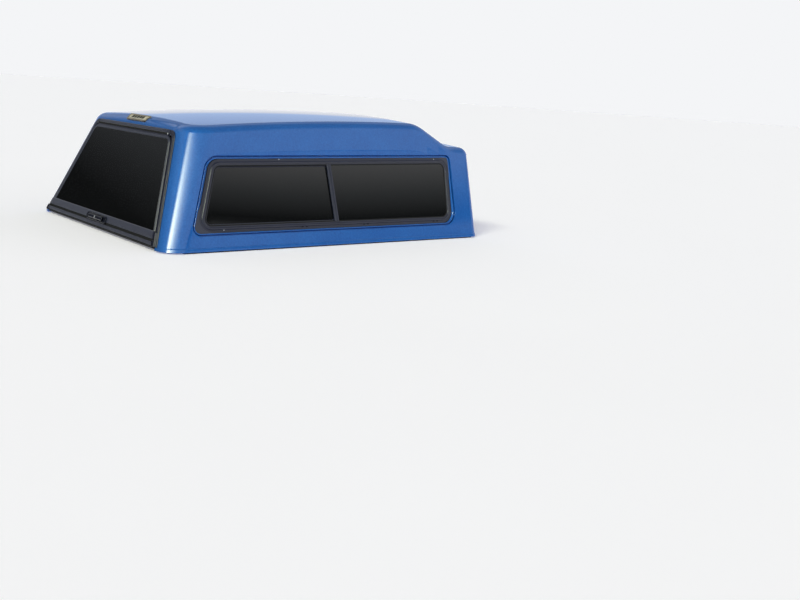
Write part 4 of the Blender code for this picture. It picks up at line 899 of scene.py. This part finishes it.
def door_surround():
    """Jamb: an extrusion with a drip line, bent round three sides of the opening, and its rubber bulb."""
    flange = GAP + JAMB_METAL
    section = eased([(0.0, GAP), (0.0, flange - 0.0010), (0.0012, flange), (0.0100, flange),
                     (0.0108, flange - 0.0008), (0.0124, flange - 0.0008), (0.0132, flange),
                     (JAMB_FACE, flange), (JAMB_FACE, -JAMB_DEPTH + JAMB_METAL),
                     (JAMB_FACE + JAMB_STOP, -JAMB_DEPTH + JAMB_METAL), (JAMB_FACE + JAMB_STOP, -JAMB_DEPTH),
                     (JAMB_FACE - JAMB_METAL, -JAMB_DEPTH), (JAMB_FACE - JAMB_METAL, GAP)])
    bulb = eased([(JAMB_FACE + 0.006, -JAMB_DEPTH + JAMB_METAL), (JAMB_FACE + 0.006, -0.0172),
                  (JAMB_FACE + 0.009, -0.0164), (JAMB_FACE + 0.014, -0.0164), (JAMB_FACE + 0.017, -0.0172),
                  (JAMB_FACE + 0.017, -JAMB_DEPTH + JAMB_METAL)], 0.0012, 3)
    for name, line, finish, nodes in (("door_surround", section, BLACK, ("door_jamb",)),
                                      ("door_weatherstrip", bulb, RUBBER, ())):
        piece(name, [solid(carried(jamb_arch, line).swapaxes(0, 1), REAR)], finish, "canopy", *nodes)


def hinge():
    """Fixed half of the full-width hinge: a grooved cover with sloping ends, a barrel and its end pins."""
    base = GAP + JAMB_METAL + GAP
    top = AXIS_PROUD + KNUCKLE_RADIUS
    section = eased([(0.0046, base), (JAMB_TOP, base), (JAMB_TOP, top - 0.003), (JAMB_TOP - 0.003, top),
                     (0.0140, top), (0.0132, top - 0.0008), (0.0118, top - 0.0008), (0.0110, top),
                     (0.0062, top), (0.0046, top - 0.0014)], 0.0003)
    low = np.column_stack([section[:, 0], np.minimum(section[:, 1], base + 0.0006)])
    ends = ((-1, 0.0, low), (-1, 0.016, section), (1, 0.016, section), (1, 0.0, low))
    grid = np.stack([np.column_stack([np.full(len(line), sign * (HINGE_HALF_LENGTH - inset)), line])
                     for sign, inset, line in ends])
    piece("hinge_cover", [solid(grid, REAR)], GRAPHITE, "canopy", "hinge_rail")
    turn = np.linspace(0, 2 * pi, 24, endpoint=False)
    barrel = np.column_stack([KNUCKLE_RADIUS * np.cos(turn), AXIS_PROUD + KNUCKLE_RADIUS * np.sin(turn)])
    grid = drawn(barrel, -HINGE_HALF_LENGTH, HINGE_HALF_LENGTH)
    piece("hinge_barrel", [solid(grid, REAR)], RUBBER, "canopy")
    plugs = []
    for sign in (1, -1):
        plug = turned([(0.0002, 0.0048), (0.0018, 0.0048), (0.0034, 0.0036), (0.0042, 0.0014)], 24)
        plug[..., 0] = sign * (HINGE_HALF_LENGTH + plug[..., 0])
        plug[..., 2] += AXIS_PROUD
        plugs.append(solid(plug, REAR))
    piece("hinge_end_pins", plugs, STEEL, "canopy")


def door_ring(inset):
    """Outline of the door frame, a running gap inside the jamb, moved inwards."""
    corners = trapezium(jamb_half(DOOR_RING_BOTTOM), jamb_half(DOOR_TOP), DOOR_RING_BOTTOM, DOOR_TOP)
    side = JAMB_FACE + DOOR_PLAY + inset
    return rounded(corners, (0.034, 0.034, JAMB_RADIUS, JAMB_RADIUS), (inset, side, inset, side), 14)


def rear_door():
    """Door: a slim extruded frame round flush glass, its hinge leaf, and the bottom rail.

    The rail's section steps back from a broad face to a deep channel, a band, a
    narrow groove and a foot; thin black rubber strips in the channel and on the foot
    are painted shade, darker than the depth alone makes them.
    """
    bed = DOOR_FACE - GLASS_THICK - GAP
    groove = 0.0008
    profile = eased([(0.0, DOOR_BACK), (0.0, DOOR_FACE - 0.002), (0.002, DOOR_FACE), (0.0060, DOOR_FACE),
                     (0.0068, DOOR_FACE - groove), (0.0084, DOOR_FACE - groove), (0.0092, DOOR_FACE),
                     (DOOR_BORDER - 0.001, DOOR_FACE), (DOOR_BORDER, DOOR_FACE - 0.001),
                     (DOOR_BORDER, bed), (DOOR_TUBE, bed), (DOOR_TUBE, DOOR_BACK)])
    leaf = eased([(DOOR_TOP + GAP, DOOR_FACE - 0.010), (DOOR_TOP + GAP, DOOR_FACE - 0.0015),
                  (DOOR_TOP + 0.0042, DOOR_FACE - 0.0015), (DOOR_TOP + 0.0042, DOOR_FACE - 0.010)])
    piece("hinge_leaf", [solid(drawn(leaf, -HINGE_HALF_LENGTH, HINGE_HALF_LENGTH), REAR)], GRAPHITE, "door")
    swept("door_extrusion", door_ring, profile, REAR, GRAPHITE, "door", "door_frame")
    pane("door_pane", door_ring, DOOR_BORDER + GAP, DOOR_FACE, REAR, "door", "door_glass", 0.0006)

    face, front, lip = RAIL_PROUD, DOOR_FACE + GAP, RIDGE_LEVEL
    deep, band = face - 0.0075, face - 0.0020
    section = eased([(RAIL_TOP, front), (RAIL_TOP, face - 0.005), (RAIL_TOP - 0.004, face - 0.001),
                     (lip + 0.0042, face), (lip + 0.0036, face - 0.0018), (lip, face), (lip - 0.0012, face),
                     (lip - 0.0018, deep), (lip - 0.0150, deep), (lip - 0.0160, band), (lip - 0.0265, band),
                     (lip - 0.0270, face - 0.0036), (lip - 0.0300, face - 0.0012),
                     (lip - 0.0315, face - 0.0012), (lip - 0.0320, deep), (RAIL_BOTTOM, deep),
                     (RAIL_BOTTOM, DOOR_BACK), (DOOR_RING_BOTTOM - GAP, DOOR_BACK),
                     (DOOR_RING_BOTTOM - GAP, front)], 0.0004, 3)

    def rail_half(line, past=0.0):
        return jamb_half(line[:, 0]) - JAMB_FACE - DOOR_PLAY + past

    grid = drawn(section, -rail_half(section), rail_half(section))
    piece("door_rail", [solid(grid, REAR)], GRAPHITE, "door", "door_bottom_rail")
    # Thin black rubber strips lining the channel and the foot: painted shade, darker than the channel's depth
    # alone would make it
    shade_strips = []
    for low, high, proud in ((lip - 0.0146, lip - 0.0022, 0.0007),
                             (RAIL_BOTTOM + 0.0004, lip - 0.0324, 0.0015)):
        line = eased([(low, deep), (low, deep + proud), (high, deep + proud), (high, deep)], 0.0002)
        shade_strips.append(solid(drawn(line, -rail_half(line, -0.001), rail_half(line, -0.001)), REAR))
    piece("rail_shade_strips", shade_strips, RUBBER, "door")
    block = eased([(RAIL_BOTTOM, DOOR_BACK + 0.004), (lip - 0.006, DOOR_BACK + 0.004),
                   (lip - 0.006, face - 0.001), (lip - 0.012, face + 0.0010),
                   (RAIL_BOTTOM + 0.004, face + 0.0005), (RAIL_BOTTOM, face - 0.002)], 0.0015, 3)
    strip = eased([(RAIL_BOTTOM + 0.003, front - 0.006), (RAIL_TOP - 0.006, front - 0.006),
                   (RAIL_TOP - 0.006, front + 0.003), (RAIL_BOTTOM + 0.003, front + 0.003)], 0.0006)
    for sign, name in ((1, "right"), (-1, "left")):
        for kind, line, start, end, finish, nodes in (
                ("block", block, GAP, GAP + 0.009, ABS, ("rail_end_cap_" + name,)),
                ("strip", strip, 0.0093, 0.0102, STEEL, ())):
            grid = drawn(line, sign * rail_half(line, start), sign * rail_half(line, end))
            piece("rail_end_%s_%s" % (kind, name), [solid(grid, REAR)], finish, "door", *nodes)


def handle():
    """Folding T-handle: an oval dished plate, and a grip with a raised hub round the lock."""
    seat = RAIL_PROUD + GAP
    place = space(DOOR_ORIGIN + HANDLE_LEVEL * UP_DOOR + seat * OUT_DOOR, (1, 0, 0), UP_DOOR, OUT_DOOR)
    turn = np.linspace(0, pi / 2, 6)
    brim = [(0.0, 0.0)] + [(0.003 * (1 - cos(t)), PLATE_THICK - 0.003 * (1 - sin(t))) for t in turn]
    dish = [(0.002, WELL_FLOOR), (0.0006, WELL_FLOOR + 0.0006), (0.0, WELL_FLOOR + 0.002),
            (-0.0006, PLATE_THICK - 0.0004), (-0.0030, PLATE_THICK + 0.002)]

    def oval(half_length, half_height, rows):
        return solid(carried(lambda inset: capsule(half_length - inset, half_height - inset), rows), place)

    plate = fresh("handle_escutcheon", [oval(PLATE_HALF_LENGTH, PLATE_HALF_HEIGHT, brim)], ABS)
    tool = fresh("dish", [oval(HANDLE_HALF + WELL_MARGIN, WELL_HALF_HEIGHT, dish)], ABS)
    dressed(carve(plate, [tool]), "door", "handle_plate")
    top = GRIP_LOW + GRIP_THICK
    profile = [(0.0020, GRIP_LOW), (0.0004, GRIP_LOW + 0.0006), (0.0, GRIP_LOW + 0.0020),
               (0.0006, GRIP_LOW + 0.0038), (0.0020, top - 0.0010), (0.0036, top - 0.0002), (0.0050, top)]
    hub = turned([(WELL_FLOOR + GAP, HUB_RADIUS), (GRIP_LOW + 0.003, HUB_RADIUS)], 32)[..., [1, 2, 0]]
    piece("handle_grip", [oval(HANDLE_HALF, GRIP_HALF_HEIGHT, profile), solid(hub, place)], ABS, "handle",
          "t_handle")


def brake_lamp():
    """High-level lamp: metallised bezel round a clear lens with five dark cells across its middle."""
    bezel = [(LAMP_RIM, LENS_FLOOR), (LAMP_RIM, LAMP_THICK - 0.0012),
             (LAMP_RIM - 0.0008, LAMP_THICK - 0.0002), (0.0030, LAMP_THICK), (0.0012, LAMP_THICK - 0.0006),
             (0.0002, LAMP_THICK - 0.0020), (0.0, GAP - LAMP_POCKET)]
    rim = solid(carried(lamp_outline, bezel), LAMP, True)
    floor = solid(carried(lamp_outline, ((0.001, GAP - LAMP_POCKET), (0.001, LENS_FLOOR))), LAMP)
    piece("lamp_bezel", [rim, floor], BEZEL, "canopy", "brake_lamp_housing")
    lens = fresh("lamp_lens", [slab(lambda inset: lamp_outline(LAMP_RIM + GAP + inset), LENS_FLOOR + GAP,
                                    LAMP_THICK - 0.0015, 0.0006, LAMP)], LENS)
    cell_floor = LAMP_THICK - 0.0035
    cells, floors = [], []
    for k in range(CELLS):
        middle = (k - (CELLS - 1) / 2) * CELL_PITCH

        def cell(inset):
            corners = trapezium(CELL_HALF, CELL_HALF, CELL_LOW, CELL_HIGH)
            return rounded(corners, 0.002, inset, 6) + (middle, 0.0)

        grid = carried(cell, ((0.0, cell_floor), (0.0, 0.05)))
        cells.append(fresh("cell_%d" % k, [solid(grid, LAMP)], LENS))
        floors.append(slab(lambda inset: cell(0.0004 + inset), cell_floor + 0.0001, cell_floor + 0.0015,
                           0.0003, LAMP))
    dressed(carve(lens, cells), "canopy", "brake_lamp_lens")
    piece("lamp_cells", floors, RUBBER, "canopy")


# Camera, light and floor

PHOTO_CAMERA = Matrix(((0.6300102, -0.2023224, 0.7497685, 4.8959920),
                       (0.7738412, 0.0824401, -0.6279916, -3.0336751),
                       (0.0652458, 0.9758429, 0.2085035, 0.8198849), (0, 0, 0, 1)))
PHOTO_LENS = 44.9676
FLOOR_RADIUS = 60.0
FLOOR_SIDES = 96
FLOOR_CLOUD = 1000 / 0.7  # millimetres across
FLOOR_GLOW = 0.23

# Light of the studio tent, by the height (sine) of the direction that is looked in
SWEEP = "#f4f5f7"
SWEEP_TOP = (0.115, 0.078)
FRONT_WALL = ((0.0, "#dfe2e5"), (0.427, "#dfe2e5"), (0.439, "#2c2d2f"), (0.462, "#adb1b4"),
              (0.485, "#fcfdff"), (0.64, "#f6f8fa"), (0.80, "#90949b"), (1.0, "#74787f"))
REAR_WALL = ((0.0, "#1a1b1c"), (0.17, "#2a2b2d"), (0.20, "#505255"), (0.24, "#74777b"), (0.50, "#85898f"),
             (0.64, "#d0d3d6"), (0.80, "#90949b"), (1.0, "#74787f"))
LIGHT_WALL = ((0.0, "#c4d9fb"), (0.22, "#c4d9fb"), (0.36, "#7d828a"), (1.0, "#74787f"))
SLANT_START = 0.48        # how far forward the front wall's dark edge starts to sink
SLANT = 0.4
SLANT_LEVEL = 0.5
FRONT_MEETS_REAR = (-0.3, 0.1)
LIGHT_MEETS_OTHERS = (0.35, 0.85)
TO_LIGHT_WALL = (-0.767, 0.642, 0.0)
ALONG_BOX = (0.951, 0.309, 0.0)
TO_BOX = (0.309, -0.951, 0.0)
BOX_COLOUR = "#fcffdb"
BOX_LIGHT = 50.0
BOX_START = (-0.26, -0.04)
BOX_END = (0.95, -0.06)
BOX_TAIL = 3.0
BOX_FOOT = (0.58, 0.66)
BOX_TOP = (0.84, 0.69)
BOX_DEPTH = (0.0, 0.2)


def soft_world():
    """Light of a studio tent, as one function of the direction that is looked in.

    A pale sweep at the horizon, and above it three walls that run into one another: one
    that is dark up to a slanting edge, on the cab's side; a dim one behind the rear door;
    and a pale blue one to the other two diagonals. A soft box hangs behind the rear
    right-hand corner: its light is the product of smooth steps across it and up it. The
    camera itself sees the plain sweep.
    """
    world = bpy.data.worlds.new("studio_tent")
    bpy.context.scene.world = world
    world.use_nodes = True
    tree = world.node_tree
    direction = add(tree, "TexCoord").node.outputs["Generated"]
    parts = add(tree, "SeparateXYZ", None, {"Vector": direction}).node.outputs
    height, forward = parts["Z"], parts["Y"]
    beyond, along, behind = (add(tree, "VectorMath", {1: way}, {0: direction}, operation="DOT_PRODUCT")
                             for way in (TO_LIGHT_WALL, ALONG_BOX, TO_BOX))
    beyond = add(tree, "Math", None, {0: beyond, 1: beyond}, operation="MULTIPLY")
    slant = add(tree, "Math", {1: SLANT_START}, {0: forward}, operation="MAXIMUM")
    slant = add(tree, "Math", {1: SLANT, 2: -SLANT * SLANT_LEVEL}, {0: slant}, operation="MULTIPLY_ADD")
    sunk = add(tree, "Math", None, {0: height, 1: slant}, operation="ADD")

    walls = []
    for level, stops in ((height, REAR_WALL), (sunk, FRONT_WALL), (height, LIGHT_WALL)):
        walls.append(add(tree, "ValToRGB", None, {"Fac": level}))
        elements = walls[-1].node.color_ramp.elements
        for at, _ in stops[1:-1]:
            elements.new(at)
        for element, (at, code) in zip(elements, stops):
            element.position = at
            element.color = linear(code)
    backdrop = add(tree, "RGB")
    backdrop.default_value = linear(SWEEP)
    light = walls[0]
    for value, (start, end), other in ((forward, FRONT_MEETS_REAR, walls[1]),
                                       (beyond, LIGHT_MEETS_OTHERS, walls[2]),
                                       (height, SWEEP_TOP, backdrop)):
        share = add(tree, "MapRange", {"From Min": start, "From Max": end}, {"Value": value},
                    interpolation_type="SMOOTHSTEP")
        light = add(tree, "Mix", None, {"Factor": share, "A": light, "B": other}, data_type="RGBA")

    glow = add(tree, "CombineXYZ", {k: BOX_LIGHT * linear(BOX_COLOUR)[k] for k in range(3)})
    for value, (start, end), power in ((along, BOX_START, 1.0), (along, BOX_END, BOX_TAIL),
                                       (height, BOX_FOOT, 1.0), (height, BOX_TOP, 1.0),
                                       (behind, BOX_DEPTH, 1.0)):
        step = add(tree, "MapRange", {"From Min": start, "From Max": end}, {"Value": value},
                   interpolation_type="SMOOTHSTEP")
        step = add(tree, "Math", {1: power}, {0: step}, operation="POWER")
        glow = add(tree, "VectorMath", None, {0: glow, "Scale": step}, operation="SCALE")
    light = add(tree, "VectorMath", None, {0: light, 1: glow, 2: light}, operation="MULTIPLY_ADD")
    seen = add(tree, "LightPath").node.outputs["Is Camera Ray"]
    add(tree, "Mix", None, {"Factor": seen, "A": light, "B": backdrop},
        tree.nodes["Background"].inputs["Color"], data_type="RGBA")


def studio():
    """The photograph's camera over a pale floor that runs out into the sweep."""
    camera = bpy.data.objects.new("photo_camera", bpy.data.cameras.new("photo_camera"))
    bpy.context.scene.collection.objects.link(camera)
    camera.matrix_world = PHOTO_CAMERA
    camera.data.lens = PHOTO_LENS
    camera.data.sensor_width = 36.0
    camera.data.clip_end = 200.0
    bpy.context.scene.camera = camera
    finish = mottled("painted_studio_floor", FLOOR_CLOUD, 2.0, "#ece6ef", "#f0eaf3", Roughness=0.85,
                     Emission_Color=linear("#f2f3fa"), Emission_Strength=FLOOR_GLOW)
    turn = np.linspace(0, 2 * pi, FLOOR_SIDES, endpoint=False)
    disc = np.column_stack([np.cos(turn), np.sin(turn), np.zeros(FLOOR_SIDES)]) * FLOOR_RADIUS
    fresh("studio_floor", [(disc, [list(range(FLOOR_SIDES))])], finish)
    soft_world()
    bpy.context.scene.view_settings.view_transform = "Standard"


studio()
moulded_shell()
for side, name in ((1, "right"), (-1, "left")):
    side_window(side, name)
front_window()
door_surround()
hinge()
rear_door()
handle()
brake_lamp()

KEPT = {"base_seal": RUBBER, "door_bottom_seal": RUBBER, "clamp_ring": BLACK, "strut_tube": BLACK,
        "latch": STEEL, "striker": STEEL, "strut_bracket": STEEL, "door_bracket": STEEL,
        "strut_rod": STEEL, "lock_barrel": STEEL}
for name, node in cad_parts.items():
    for start, finish in KEPT.items():
        if name.startswith(start):
            node.data.materials.clear()
            node.data.materials.append(finish)
